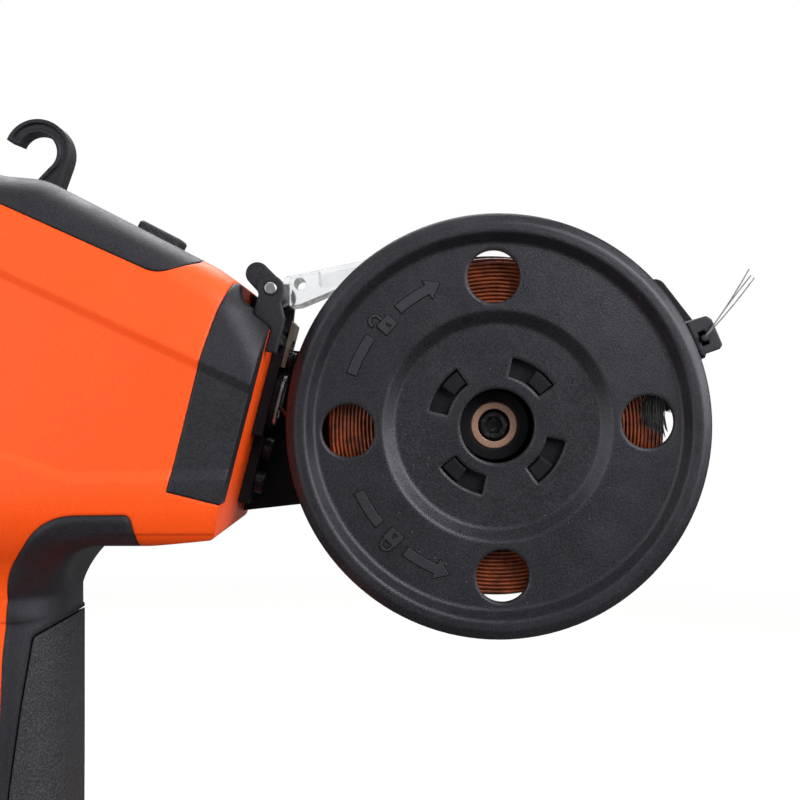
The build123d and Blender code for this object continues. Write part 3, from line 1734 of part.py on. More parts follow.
# Wire feed: frame of two plates, motor with pinion, gear and roller, idler on its arm, guide tube.
nip_u = (axis_x - nip_x + wire_v * math.sin(tilt)) / math.cos(tilt)
nip = on_axis(nip_u, wire_v)
feed_at = nip - upward * (feed_r + wire_d / 2 + air)
idler_at = nip + upward * (idler_r + wire_d / 2 + air)
pivot_at = idler_at + ahead * 13.0 + upward * 3.0
centre_gap = feed_module * (pinion_teeth + gear_teeth) / 2
mesh_turn = 240.0
pinion_at = ray((feed_at.X, feed_at.Z), mesh_turn, centre_gap)
feed_xz = (feed_at.X, feed_at.Z)
idler_xz = (idler_at.X, idler_at.Z)
pivot_xz = (pivot_at.X, pivot_at.Z)
plate_in = 6.0
plate_thick = 2.0
shaft_r = 2.5
pivot_r = 2.0
tube_r = 1.5
stays = [(28.0, 196.0), (58.5, 198.5), (51.0, 173.5)]
with BuildPart() as feed_frame:
    with BuildSketch(side(plate_in + plate_thick)):
        with BuildLine():
            Outline(
                [
                    (25, 193),
                    (25.5, 166, 3),
                    (45, 164.5, 2),
                    (54.5, 174.5, 2),
                    (61.3, 197, 2),
                    (58.5, 202.5, 2),
                    (45, 211, 2),
                    (33, 213.5, 2),
                    (27, 200),
                ]
            )
        make_face()
    extrude(amount=plate_thick)
    with BuildSketch(side(-plate_in)):
        with BuildLine():
            Outline(
                [
                    (25, 193),
                    (38, 180, 2),
                    (52, 181, 2),
                    (61.3, 197, 2),
                    (58.5, 202.5, 2),
                    (45, 211, 2),
                    (33, 213.5, 2),
                    (27, 200),
                ]
            )
        make_face()
        with Locations(pinion_at):
            Circle(feed_motor_d / 2 + 0.5, mode=Mode.SUBTRACT)
    extrude(amount=plate_thick)
    for x, z in stays:
        with BuildSketch(side(cavity_half)):
            with Locations((x, z)):
                Circle(2.5)
        extrude(amount=cavity_half - plate_in)
    for x, z in stays[:2]:
        with BuildSketch(side(plate_in)):
            with Locations((x, z)):
                Circle(2.5)
        extrude(amount=plate_in + cavity_half)
    with BuildSketch(side(plate_in)):
        with Locations(pivot_xz):
            Circle(pivot_r)
    extrude(amount=2 * plate_in)
    with BuildSketch(along(-plate_in)):
        with Locations((nip_u + 12.5, wire_v)):
            Rectangle(6, 6)
    extrude(amount=2 * plate_in)
    with BuildSketch(across(nip_u + 6, wire_v)):
        Circle(tube_r + 0.02)
    extrude(amount=14, mode=Mode.SUBTRACT)
    with BuildSketch(side(20)):
        with Locations(feed_xz):
            Circle(shaft_r + running)
        with Locations(pinion_at):
            Circle(3)
    extrude(amount=40, mode=Mode.SUBTRACT)
feed_frame.part.label = "feed_frame"
export_step(feed_frame.part, "parts/feed_frame.step")

with BuildPart() as feed_motor:
    with BuildSketch(side(plate_in)):
        with Locations(pinion_at):
            Circle(feed_motor_d / 2)
    extrude(amount=plate_in + 13)
    fillet(feed_motor.faces().sort_by(Axis.Y)[0].edges(), 1.5)
    with BuildSketch(side(plate_in)):
        with Locations(pinion_at):
            Circle(1.5 + running)
    extrude(amount=3, mode=Mode.SUBTRACT)
    with BuildSketch(side(-12.9)):
        with Locations(pinion_at):
            Circle(4)
    extrude(amount=1.1)
feed_motor.part.label = "feed_motor"
export_step(feed_motor.part, "parts/feed_motor.step")

gear_plane = Plane(origin=(feed_at.X, 13, feed_at.Z), x_dir=(1, 0, 0), z_dir=(0, -1, 0))
pinion_plane = Plane(origin=(pinion_at[0], 13, pinion_at[1]), x_dir=(1, 0, 0), z_dir=(0, -1, 0))
with BuildPart() as feed_pinion:
    with BuildSketch(pinion_plane):
        with BuildLine():
            Polyline(
                *gear_points(pinion_teeth, feed_module, 0.75, mesh_turn - 180 + 180 / pinion_teeth),
                close=True,
            )
        make_face()
    extrude(amount=4)
    with BuildSketch(pinion_plane):
        Circle(1.5)
    extrude(amount=9.6)
feed_pinion.part.label = "feed_pinion"
export_step(feed_pinion.part, "parts/feed_pinion.step")

with BuildPart() as feed_gear:
    with BuildSketch(gear_plane):
        with BuildLine():
            Polyline(*gear_points(gear_teeth, feed_module, 0.75, mesh_turn), close=True)
        make_face()
        Circle(shaft_r, mode=Mode.SUBTRACT)
        for k in range(5):
            with Locations(ray((0, 0), 72 * k, 8)):
                Circle(2.4, mode=Mode.SUBTRACT)
    extrude(amount=4)
feed_gear.part.label = "feed_gear"
export_step(feed_gear.part, "parts/feed_gear.step")

with BuildPart() as feed_roller:
    with BuildSketch(side(4)):
        with Locations(feed_xz):
            Circle(feed_r)
    extrude(amount=8)
    with BuildSketch(side(13)):
        with Locations(feed_xz):
            Circle(shaft_r)
    extrude(amount=22)
    with BuildSketch(side(4)):
        for k in range(12):
            with Locations(ray(feed_xz, 30 * k, feed_r)):
                Circle(0.5)
    extrude(amount=8, mode=Mode.SUBTRACT)
feed_roller.part.label = "feed_roller"
export_step(feed_roller.part, "parts/feed_roller.step")

reach = pivot_at - idler_at
arm_middle = (pivot_at + idler_at) * 0.5
arm_lean = math.degrees(math.atan2(reach.Z, reach.X))
with BuildPart() as idler_arm:
    for start in (5.2, -3.4):
        with BuildSketch(side(start)):
            with Locations((arm_middle.X, arm_middle.Z)):
                SlotCenterToCenter(reach.length, 6.4, rotation=arm_lean)
        extrude(amount=1.8)
    with BuildSketch(side(3.4)):
        with Locations(pivot_xz):
            Circle(3.2)
    extrude(amount=6.8)
    with BuildSketch(side(3.4)):
        with Locations(idler_xz):
            Circle(1.5)
    extrude(amount=6.8)
    with BuildSketch(side(20)):
        with Locations(pivot_xz):
            Circle(pivot_r + running)
    extrude(amount=40, mode=Mode.SUBTRACT)
idler_arm.part.label = "idler_arm"
export_step(idler_arm.part, "parts/idler_arm.step")
with BuildPart() as idler_roller:
    with BuildSketch(side(3)):
        with Locations(idler_xz):
            Circle(idler_r)
            Circle(1.5 + running, mode=Mode.SUBTRACT)
    extrude(amount=6)
    chamfer(idler_roller.edges().filter_by(GeomType.CIRCLE).group_by(SortBy.RADIUS)[-1], 0.5)
idler_roller.part.label = "idler_roller"
export_step(idler_roller.part, "parts/idler_roller.step")
with BuildPart() as guide_tube:
    with BuildSketch(across(nip_u + 8.5, wire_v)):
        Circle(tube_r)
        Circle(wire_d / 2 + 0.4, mode=Mode.SUBTRACT)
    extrude(amount=20 - nip_u - 8.5)
guide_tube.part.label = "guide_tube"
export_step(guide_tube.part, "parts/guide_tube.step")

# Trigger with its spring and switch, and the board in the grip.
trigger_back = -12.0
spring_r = 2.8
spring_wire = 0.6
pocket_deep = 8.0
spring_z = 167.5
switch_face = -5.5
with BuildPart() as trigger:
    with BuildSketch(side(trigger_half)):
        with BuildLine():
            Outline(
                [
                    (-36.4, 187.0, 1.5),
                    (-32.6, 176, 14),
                    (-31.2, 166, 16),
                    (-33, 156, 9),
                    (-36, 151.6, 1.2),
                    (trigger_back, 151.6),
                    (trigger_back, 185.7),
                    (-24.3, 185.7),
                ]
            )
        make_face()
    extrude(amount=2 * trigger_half)
    fillet(
        [e for e in trigger.edges() if e.center().X < -31 and abs(e.center().Y) > trigger_half - 0.1],
        1.0,
    )
    with BuildSketch(side(trigger_half + 2)):
        with BuildLine():
            Polyline((-14.6, 163), (trigger_back, 163), (trigger_back, 183), (-14.6, 183), close=True)
        make_face()
    extrude(amount=2 * trigger_half + 4)
    with BuildSketch(Plane(origin=(trigger_back, 0, spring_z), x_dir=(0, 1, 0), z_dir=(-1, 0, 0))):
        Circle(spring_r + spring_wire / 2 + 0.5)
    extrude(amount=pocket_deep, mode=Mode.SUBTRACT)
trigger.part.label = "trigger"
export_step(trigger.part, "parts/trigger.step")

spring_long = pocket_deep + switch_face - trigger_back
with BuildPart() as trigger_spring:
    with BuildLine() as trigger_coil:
        Helix(
            pitch=(spring_long - spring_wire) / 6,
            height=spring_long - spring_wire,
            radius=spring_r,
            center=(trigger_back - pocket_deep + spring_wire / 2, 0, spring_z),
            direction=(1, 0, 0),
        )
    with BuildSketch(Plane(origin=trigger_coil.line @ 0, z_dir=trigger_coil.line % 0)):
        RegularPolygon(spring_wire / 2, 6)
    sweep(path=trigger_coil.line, is_frenet=True)
trigger_spring.part.label = "trigger_spring"
export_step(trigger_spring.part, "parts/trigger_spring.step")

grip_hollow = 12.5
with BuildPart() as trigger_switch:
    with BuildSketch(side(6)):
        with BuildLine():
            Outline([(switch_face, 160.2, 1), (8, 160.2, 1), (8, 175, 1), (switch_face, 175, 1)])
        make_face()
    extrude(amount=12)
    with BuildSketch(side(grip_hollow)):
        with BuildLine():
            Polyline((0, 160.2), (6, 160.2), (6, 164.6), (0, 164.6), close=True)
        make_face()
    extrude(amount=2 * grip_hollow)
trigger_switch.part.label = "trigger_switch"
export_step(trigger_switch.part, "parts/trigger_switch.step")

with BuildPart() as control_board:
    with BuildSketch(Plane.YZ.offset(4)):
        with Locations((0, 114)):
            Rectangle(2 * grip_hollow, 72)
    extrude(amount=1.6)
    with BuildSketch(Plane.YZ.offset(4)):
        with Locations((-4, 138), (4.5, 136), (0, 118), (-5, 98), (5, 96)):
            Rectangle(6, 9)
    extrude(amount=-4)
    with BuildSketch(Plane.YZ.offset(4)):
        with Locations((0, 84)):
            Rectangle(16, 7)
    extrude(amount=-6)
control_board.part.label = "control_board"
export_step(control_board.part, "parts/control_board.step")

# Battery: case, lid with the rail, cells, latch with its spring, and the terminal block in the foot.
battery_long = battery_back - battery_front
battery_wall = 2.5
case_top = 30.0
cell_mid = 6.0
cell_step = 19.0
cell_low = 2.0 + cell_d / 2
cell_high = cell_low + cell_d + 0.3
rail_front = -30.0
rail_end = 28.0
tooth_x = -26.0
tooth_y = 22.5
cell_spots = [(y, z) for y in (-cell_step, 0, cell_step) for z in (cell_low, cell_high)]
with BuildPart() as battery_case:
    with BuildSketch(Plane.XY):
        RectangleRounded(battery_long, 2 * battery_half, 12)
    extrude(amount=case_top)
    fillet(battery_case.faces().sort_by(Axis.Z)[0].edges(), 2.5)
    for hand in (-1, 1):
        with BuildSketch(side(hand * battery_half)):
            for x in (-24, -12, 0, 12, 24):
                with Locations((x, 15)):
                    SlotOverall(18, 3, rotation=90)
        extrude(amount=hand * 0.8, mode=Mode.SUBTRACT)
    with BuildSketch(Plane.XY.offset(2)):
        RectangleRounded(
            battery_long - 2 * battery_wall,
            2 * (battery_half - battery_wall),
            12 - battery_wall,
        )
    extrude(amount=case_top, mode=Mode.SUBTRACT)
    for x in (-20, 30):
        with BuildSketch(Plane.YZ.offset(x)):
            with Locations((0, cell_low - 1)):
                Rectangle(2 * (battery_half - battery_wall) + 0.5, cell_d - 1)
            for y, z in cell_spots:
                with Locations((y, z)):
                    Circle(cell_d / 2 + 0.01, mode=Mode.SUBTRACT)
        extrude(amount=2)
    with BuildSketch(Plane.XY.offset(1)):
        with Locations((-38, 0)):
            Circle(4)
    extrude(amount=case_top - 1.2)
battery_case.part.label = "battery_case"
export_step(battery_case.part, "parts/battery_case.step")

yoke_base = 42.0
yoke_top = 45.9
with BuildPart() as battery_lid:
    with BuildSketch(Plane.XY.offset(case_top)):
        RectangleRounded(battery_long, 2 * battery_half, 12)
    extrude(amount=foot_base - case_top)
    fillet(battery_lid.faces().sort_by(Axis.Z)[-1].edges(), 3)
    with BuildSketch(Plane.XY.offset(case_top)):
        RectangleRounded(
            battery_long - 2 * battery_wall,
            2 * (battery_half - battery_wall),
            12 - battery_wall,
        )
    extrude(amount=yoke_top + 0.3 - case_top, mode=Mode.SUBTRACT)
    with BuildSketch(Plane.XY.offset(foot_base - 0.5)):
        with Locations(((rail_front + rail_end) / 2, 0)):
            Rectangle(rail_end - rail_front, 2 * rail_neck)
    extrude(amount=4)
    with BuildSketch(Plane.XY.offset(foot_base + 2.6 + rail_gap)):
        with Locations(((rail_front + rail_end) / 2, 0)):
            Rectangle(rail_end - rail_front, 2 * rail_head)
    extrude(amount=4 - 2 * rail_gap)
    for y in (-7, 0, 7):
        with BuildSketch(Plane.XY.offset(foot_base + 1.4)):
            with Locations((rail_end - 4, y)):
                Rectangle(10, 1.6)
        extrude(amount=10, mode=Mode.SUBTRACT)
    for y in (-tooth_y, tooth_y):
        with BuildSketch(Plane.XY.offset(case_top + 1)):
            with Locations((tooth_x, y)):
                Rectangle(4.9, 5.9)
        extrude(amount=30, mode=Mode.SUBTRACT)
    with BuildSketch(Plane.YZ.offset(battery_front - 1)):
        with Locations((0, 42.5)):
            Rectangle(20, 7.4)
    extrude(amount=8, mode=Mode.SUBTRACT)
    for x in (-18, 33):
        with BuildSketch(Plane.YZ.offset(x)):
            with Locations((0, 43)):
                Rectangle(2 * (battery_half - battery_wall) + 0.5, 8)
            for y, z in cell_spots:
                with Locations((y, z)):
                    Circle(cell_d / 2 + 0.01, mode=Mode.SUBTRACT)
        extrude(amount=2)
battery_lid.part.label = "battery_lid"
export_step(battery_lid.part, "parts/battery_lid.step")

with BuildPart() as battery_cells:
    for y, z in cell_spots:
        with BuildSketch(Plane.YZ.offset(cell_mid - cell_long / 2)):
            with Locations((y, z)):
                Circle(cell_d / 2)
        extrude(amount=cell_long)
        with BuildSketch(Plane.YZ.offset(cell_mid + cell_long / 2)):
            with Locations((y, z)):
                Circle(3.2)
        extrude(amount=1)
battery_cells.part.label = "battery_cells"
export_step(battery_cells.part, "parts/battery_cells.step")

with BuildPart() as battery_latch:
    with BuildSketch(Plane.XY.offset(yoke_base)):
        with Locations((tooth_x, 0)):
            Rectangle(5, 2 * tooth_y + 5.4)
        with Locations(((tooth_x + battery_front - 1.6) / 2, 0)):
            Rectangle(tooth_x - battery_front + 1.6, 19.2)
    extrude(amount=yoke_top - yoke_base)
    for y in (-tooth_y, tooth_y):
        with BuildSketch(Plane.XY.offset(yoke_base)):
            with Locations((tooth_x, y)):
                Rectangle(4.4, 5.4)
        extrude(amount=foot_base + 2.5 - yoke_base)
    with BuildSketch(Plane.YZ.offset(battery_front - 0.4)):
        with Locations((0, 42.4)):
            RectangleRounded(19.2, 7, 1.5)
    extrude(amount=-2)
battery_latch.part.label = "battery_latch"
export_step(battery_latch.part, "parts/battery_latch.step")

with BuildPart() as latch_spring:
    latch_foot = case_top - 0.2
    with BuildLine() as latch_coil:
        Helix(
            pitch=(yoke_base - latch_foot - spring_wire) / 5,
            height=yoke_base - latch_foot - spring_wire,
            radius=spring_r,
            center=(-38, 0, latch_foot + spring_wire / 2),
        )
    with BuildSketch(Plane(origin=latch_coil.line @ 0, z_dir=latch_coil.line % 0)):
        RegularPolygon(spring_wire / 2, 6)
    sweep(path=latch_coil.line, is_frenet=True)
latch_spring.part.label = "latch_spring"
export_step(latch_spring.part, "parts/latch_spring.step")

with BuildPart() as terminal_block:
    with BuildSketch(Plane.XY.offset(foot_base + 0.2)):
        with Locations(((rail_end + 0.4 + 34) / 2, 0)):
            Rectangle(34 - rail_end - 0.4, 2 * rail_neck)
    extrude(amount=6.3)
    for y in (-7, 0, 7):
        with BuildSketch(side(y + 0.4)):
            with BuildLine():
                Polyline(
                    (rail_end - 7, 52.6),
                    (rail_end + 1, 52.6),
                    (rail_end + 1, 55.4),
                    (rail_end - 7, 55.4),
                    close=True,
                )
            make_face()
        extrude(amount=0.8)
terminal_block.part.label = "terminal_block"
export_step(terminal_block.part, "parts/terminal_block.step")
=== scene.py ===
import math

import bmesh
import bpy
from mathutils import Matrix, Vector


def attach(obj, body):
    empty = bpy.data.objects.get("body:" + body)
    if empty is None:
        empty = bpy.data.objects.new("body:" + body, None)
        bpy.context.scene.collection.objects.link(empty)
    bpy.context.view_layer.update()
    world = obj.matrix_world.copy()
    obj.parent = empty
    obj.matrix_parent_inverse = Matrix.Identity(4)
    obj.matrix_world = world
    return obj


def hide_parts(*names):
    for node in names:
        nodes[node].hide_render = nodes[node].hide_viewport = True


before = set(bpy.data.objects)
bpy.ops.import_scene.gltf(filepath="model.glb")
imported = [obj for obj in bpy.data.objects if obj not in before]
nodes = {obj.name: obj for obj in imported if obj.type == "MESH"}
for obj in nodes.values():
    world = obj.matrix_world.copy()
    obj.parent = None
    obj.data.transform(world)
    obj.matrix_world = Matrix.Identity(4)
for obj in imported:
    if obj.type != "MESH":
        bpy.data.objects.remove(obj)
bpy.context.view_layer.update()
scene = bpy.context.scene


# Housing halves: two injection mouldings in bright orange with a fine spark-eroded grain.
# They meet on the middle plane and are screwed together from the right side.
class Signal:
    """One output of a node; plain arithmetic on it adds Math nodes."""

    def __init__(self, socket):
        self.socket = socket

    def maths(self, operation, first, second):
        tree = self.socket.id_data
        node = tree.nodes.new("ShaderNodeMath")
        node.operation = operation
        for slot, value in zip(node.inputs, (first, second)):
            if isinstance(value, Signal):
                tree.links.new(value.socket, slot)
            else:
                slot.default_value = value
        return Signal(node.outputs[0])

    def __add__(self, other):
        return self.maths("ADD", self, other)

    def __sub__(self, other):
        return self.maths("SUBTRACT", self, other)

    def __rsub__(self, other):
        return self.maths("SUBTRACT", other, self)

    def __mul__(self, other):
        return self.maths("MULTIPLY", self, other)

    def __gt__(self, level):
        return self.maths("GREATER_THAN", self, level)

    __radd__ = __add__
    __rmul__ = __mul__


class Finish:
    """A material whose even values sit on the shader and whose changing ones come from nodes."""

    def __init__(self, name, **even):
        self.material = bpy.data.materials.new(name)
        self.material.use_nodes = True
        self.tree = self.material.node_tree
        self.shader = self.tree.nodes["Principled BSDF"]
        for socket, value in even.items():
            self.shader.inputs[socket.replace("_", " ")].default_value = value
        self.place = self.node("TexCoord", output="Object")

    def node(self, kind, settings=None, sockets=None, output=0):
        made = self.tree.nodes.new("ShaderNode" + kind)
        for key, value in (settings or {}).items():
            setattr(made, key, value)
        for key, value in (sockets or {}).items():
            slot = next(s for s in made.inputs if key in (s.identifier, s.name))
            if isinstance(value, Signal):
                self.tree.links.new(value.socket, slot)
            else:
                slot.default_value = value
        if isinstance(output, str):
            return Signal(next(s for s in made.outputs if output in (s.identifier, s.name)))
        return Signal(made.outputs[output])

    def noise(self, scale, detail=2.0, rough=0.5):
        grain = {"Vector": self.place, "Scale": scale, "Detail": detail, "Roughness": rough}
        return self.node("TexNoise", None, grain)

    def spread(self, signal, low, high, to_low=0.0, to_high=1.0):
        ends = {"Value": signal, "From Min": low, "From Max": high, "To Min": to_low, "To Max": to_high}
        return self.node("MapRange", None, ends)

    def blend(self, factor, first, second):
        pair = {"Factor_Float": factor, "A_Color": first, "B_Color": second}
        return self.node("Mix", {"data_type": "RGBA"}, pair, "Result_Color")

    def cloudy(self, scale, detail, first, second):
        return self.blend(self.spread(self.noise(scale, detail), 0.3, 0.7), (*first, 1), (*second, 1))

    def relief(self, height, strength, depth, edge=0.0):
        sockets = {"Height": height, "Strength": strength, "Distance": depth}
        if edge:
            sockets["Normal"] = self.node("Bevel", {"samples": 6}, {"Radius": edge})
        return self.node("Bump", None, sockets)

    def drive(self, **wanted):
        for socket, signal in wanted.items():
            self.tree.links.new(signal.socket, self.shader.inputs[socket.replace("_", " ")])


def moulded(name, deep, pale, rough, grain, edge, dust=0.0, shine=0.5, sheen=(0.90, 0.90, 1.0)):
    """Textured plastic: cloudy colour, spark grain, softened edges and sparse pale specks."""
    finish = Finish(name, IOR=1.5, Specular_IOR_Level=shine, Specular_Tint=(*sheen, 1))
    cloud = finish.spread(finish.noise(38, 4), 0.3, 0.7)
    fleck = finish.noise(grain * 0.7, 2, 0.7)
    tone = finish.blend(cloud * 0.3 + finish.spread(fleck, 0.4, 0.6) * 0.7, (*deep, 1), (*pale, 1))
    if dust:
        speck_size, patch_level, speck_colour = 0.075, 0.6, (0.32, 0.33, 0.35, 1)
        specks = finish.node("TexVoronoi", None, {"Vector": finish.place, "Scale": 620}, "Distance")
        patch = finish.noise(55, 3) > patch_level
        mark = (speck_size - specks > 0.0) * patch * dust
        tone = finish.blend(mark, tone, speck_colour)
    scuff = finish.spread(finish.noise(160, 5, 0.7), 0.4, 0.75, -0.05, 0.07)
    grain_strength, grain_depth = 0.45, 0.00009
    finish.drive(
        Base_Color=tone,
        Roughness=scuff + rough,
        Normal=finish.relief(finish.noise(grain, 3, 0.6), grain_strength, grain_depth, edge),
    )
    return finish.material


def dress(material, *names):
    for name in names:
        nodes[name].data.materials.clear()
        nodes[name].data.materials.append(material)


shell_orange = moulded(
    "shell_orange",
    (0.86, 0.072, 0.003),
    (0.95, 0.092, 0.005),
    0.45,
    3600,
    0.0012,
    shine=0.35,
    sheen=(1, 1, 1),
)
dress(shell_orange, "left_shell", "right_shell")

# Cover, corner panels, hook and overmould: charcoal nylon with the same spark grain.
# The cover drops into the halves' top edge, the panels clip into the rear corners.
trim_black = moulded(
    "trim_black", (0.0030, 0.0029, 0.0036), (0.0200, 0.0194, 0.0232), 0.50, 3600, 0.0008, shine=0.38
)
dress(trim_black, "top_cover", "left_corner_panel", "right_corner_panel", "hanging_hook")
grip_soft = moulded(
    "grip_soft", (0.0045, 0.0044, 0.0057), (0.0200, 0.0196, 0.0240), 0.50, 3600, 0.0026, shine=0.45
)
dress(grip_soft, "grip_overmould")

# Grip pad and press button: soft rubber, the pad let into the overmould, the button into the cover.
# A fine pebble gives the hand its hold; the tone is flecked paler at random.
rubber = Finish("pebbled_rubber", IOR=1.45)
pebble_cells = {"Vector": rubber.place, "Scale": 2000}
pebble = rubber.node("TexVoronoi", {"feature": "SMOOTH_F1"}, pebble_cells, "Distance")
rubber_fleck = rubber.spread(rubber.noise(2900, 2), 0.44, 0.68)
rubber_tone = rubber.blend(rubber_fleck, (0.010, 0.010, 0.0118, 1), (0.044, 0.044, 0.050, 1))
rubber.drive(
    Base_Color=rubber_tone,
    Roughness=rubber.spread(rubber.noise(300, 3), 0.3, 0.7, 0.6, 0.75),
    Normal=rubber.relief(pebble, 0.6, 0.00025, 0.0006),
)
dress(rubber.material, "grip_pad", "press_button")

# Screws, nut and axle: black-oxide steel, worn a little bright in random patches.
# They hold the halves, the spool arm and the spool.
black_oxide = Finish("black_oxide", Metallic=0.85)
oxide_wear = black_oxide.spread(black_oxide.noise(700, 4), 0.55, 0.8)
black_oxide.drive(
    Base_Color=black_oxide.blend(oxide_wear, (0.022, 0.022, 0.024, 1), (0.16, 0.16, 0.17, 1)),
    Roughness=oxide_wear * -0.15 + 0.42,
    Normal=black_oxide.relief(black_oxide.noise(1800, 2), 0.2, 0.00005, 0.0003),
)
dress(black_oxide.material, "housing_screws", "arm_screws", "axle_nut", "spool_axle")

# Nose housing, claw drive and jaw: a black moulded nose with ground and hardened steel parts.
# The claw swings on a plain pin, its toothed hub driven by the rack under it.
dress(trim_black, "nose_housing")


def metal(name, dark, bright, rough, brushed):
    """Steel or bronze with drawn-out brush lines and small handling marks."""
    finish = Finish(name, Metallic=1.0)
    stretch = finish.node("Mapping", None, {"Vector": finish.place, "Scale": brushed})
    lines = finish.node("TexNoise", None, {"Vector": stretch, "Scale": 900.0, "Detail": 3.0})
    marks = finish.spread(finish.noise(240, 4), 0.35, 0.7)
    finish.drive(
        Base_Color=finish.blend(marks * 0.5 + lines * 0.5, (*dark, 1), (*bright, 1)),
        Roughness=lines * 0.16 + marks * 0.06 + rough,
        Normal=finish.relief(lines, 0.18, 0.00004, 0.0003),
    )
    return finish.material


hard_steel = metal("hard_steel", (0.30, 0.30, 0.31), (0.47, 0.47, 0.48), 0.20, (0.15, 1, 1))
bright_steel = metal("bright_steel", (0.58, 0.58, 0.59), (0.74, 0.74, 0.75), 0.12, (1, 0.2, 1))
dress(hard_steel, "lower_jaw", "claw", "claw_rack", "cutter", "twister_spindle", "spindle_bearings")
dress(bright_steel, "claw_pin", "twister_head")

# Motors and gearbox: plated cans inside the housing.
# The main motor with its gearbox turns the twister, the small one drives the wire feed.
plated_can = metal("plated_can", (0.28, 0.29, 0.30), (0.42, 0.43, 0.44), 0.26, (1, 1, 0.3))
dress(plated_can, "main_motor", "gearbox", "feed_motor")

# Wire feed: steel gear train and rollers between two glass-filled nylon plates.
# The trigger's switch body is of the same nylon.
filled_nylon = moulded("filled_nylon", (0.10, 0.105, 0.11), (0.16, 0.165, 0.17), 0.5, 1500, 0.0003)
dress(filled_nylon, "feed_frame", "idler_arm", "trigger_switch")
dress(hard_steel, "feed_pinion", "feed_gear", "feed_roller", "idler_roller", "guide_tube")

# Spool arm with the wire inlet: black nylon plate on the far side, its foot on the rear wall.
# Its outer limb ends in the brush holder, which is moulded from the trim's nylon.
# The inlet is an oblong bush with a bright pressed eyelet that the wire runs over.
# The arm and inlet bush wear a darker, duller copy of the trim's black nylon: painted shade for the shadow
# they stand in.
arm_black_painted_shade = moulded(
    "arm_black_painted_shade", (0.0025, 0.0025, 0.0030), (0.0050, 0.0050, 0.0060), 0.55, 4200, 0.0006, shine=0.2
)
dress(arm_black_painted_shade, "spool_arm", "inlet_bush")
dress(trim_black, "brush_holder")
dress(hard_steel, "inlet_eyelet")

# Spool hub and bush: a moulded hub with a far flange, turning on a sintered bronze bush.
# The spool's axis lies at spool_at.
spool_at = Vector((0.1225, 0.0, 0.185))
# The hub takes the same darker copy of the black: painted shade for its shadowed bore and slots.
dress(arm_black_painted_shade, "spool_hub")
bronze = Finish("sintered_bronze", Metallic=0.75)
pores = bronze.noise(5200, 2)
bronze.drive(
    Base_Color=bronze.blend(bronze.spread(pores, 0.35, 0.65), (0.36, 0.215, 0.15, 1), (0.56, 0.355, 0.26, 1)),
    Roughness=bronze.spread(pores, 0.3, 0.7, 0.5, 0.36),
    Normal=bronze.relief(pores, 0.3, 0.00005, 0.0003),
)
dress(bronze.material, "spool_bush")

# Coil of tie wire: brown enamelled wire wound in layers, each turn lying beside the last.
# The near side shows the layers' ends as rings, the rim shows the outer layer's turns.
enamel = Finish("brown_enamel", Metallic=0.35, Coat_Roughness=0.15, Coat_Weight=0.35)
enamel_cloud = enamel.spread(enamel.noise(420, 3), 0.3, 0.7)
enamel.drive(
    Base_Color=enamel.blend(enamel_cloud, (0.08, 0.014, 0.003, 1), (0.31, 0.062, 0.014, 1)),
    Roughness=enamel.spread(enamel.noise(900, 2), 0.3, 0.7, 0.28, 0.42),
)


class Plan:
    """A Geometry Nodes tree built step by step, with named inputs for its sizes."""

    def __init__(self, name):
        self.tree = bpy.data.node_groups.new(name, "GeometryNodeTree")
        self.tree.interface.new_socket("Geometry", in_out="OUTPUT", socket_type="NodeSocketGeometry")
        self.inlet = self.tree.nodes.new("NodeGroupInput")
        self.values = {}

    def size(self, name, value, kind="NodeSocketFloat"):
        made = self.tree.interface.new_socket(name, in_out="INPUT", socket_type=kind)
        self.values[made.identifier] = value
        return next(s for s in self.inlet.outputs if s.identifier == made.identifier)

    def step(self, kind, settings=None, output=0, **sockets):
        made = self.tree.nodes.new(kind)
        for key, value in (settings or {}).items():
            setattr(made, key, value)
        for key, value in sockets.items():
            key = key.replace("_", " ")
            slot = next(s for s in made.inputs if s.name == key and s.enabled)
            for item in value if isinstance(value, list) else [value]:
                if isinstance(item, bpy.types.NodeSocket):
                    self.tree.links.new(item, slot)
                else:
                    slot.default_value = item
        if isinstance(output, str):
            return next(s for s in made.outputs if s.name == output and s.enabled)
        return made.outputs[output]

    def make(self, name, geometry, material):
        solid = self.step("GeometryNodeRealizeInstances", Geometry=geometry)
        shown = self.step("GeometryNodeSetMaterial", Geometry=solid, Material=material)
        outlet = self.tree.nodes.new("NodeGroupOutput")
        self.tree.links.new(shown, outlet.inputs[0])
        holder = bpy.data.objects.new(name, bpy.data.meshes.new(name))
        scene.collection.objects.link(holder)
        grown = holder.modifiers.new("plan", "NODES")
        grown.node_group = self.tree
        for identifier, value in self.values.items():
            grown[identifier] = value
        ready = holder.evaluated_get(bpy.context.evaluated_depsgraph_get())
        mesh = bpy.data.meshes.new_from_object(ready)
        holder.modifiers.clear()
        holder.data = mesh
        for face in mesh.polygons:
            face.use_smooth = True
        if not mesh.materials:
            mesh.materials.append(material)
        return holder


def round_wire(plan, path, radius, sides=8):
    ring = plan.step("GeometryNodeCurvePrimitiveCircle", Resolution=sides, Radius=radius)
    return plan.step("GeometryNodeCurveToMesh", Curve=path, Profile_Curve=ring)


def loosened(plan, path, amount, scale, seed):
    """The same path with each stretch a little out of line, as hand-laid wire is."""
    place = plan.step("GeometryNodeInputPosition")
    drift = plan.step(
        "ShaderNodeTexNoise", {"noise_dimensions": "4D"}, "Color", Vector=place, W=seed, Scale=scale
    )
    middle = plan.step("ShaderNodeVectorMath", {"operation": "SUBTRACT"}, Vector=drift)
    middle.node.inputs[1].default_value = (0.5, 0.5, 0.5)
    drawn = plan.step("ShaderNodeVectorMath", {"operation": "SCALE"}, Vector=middle, Scale=amount)
    return plan.step("GeometryNodeSetPosition", Geometry=path, Offset=drawn)


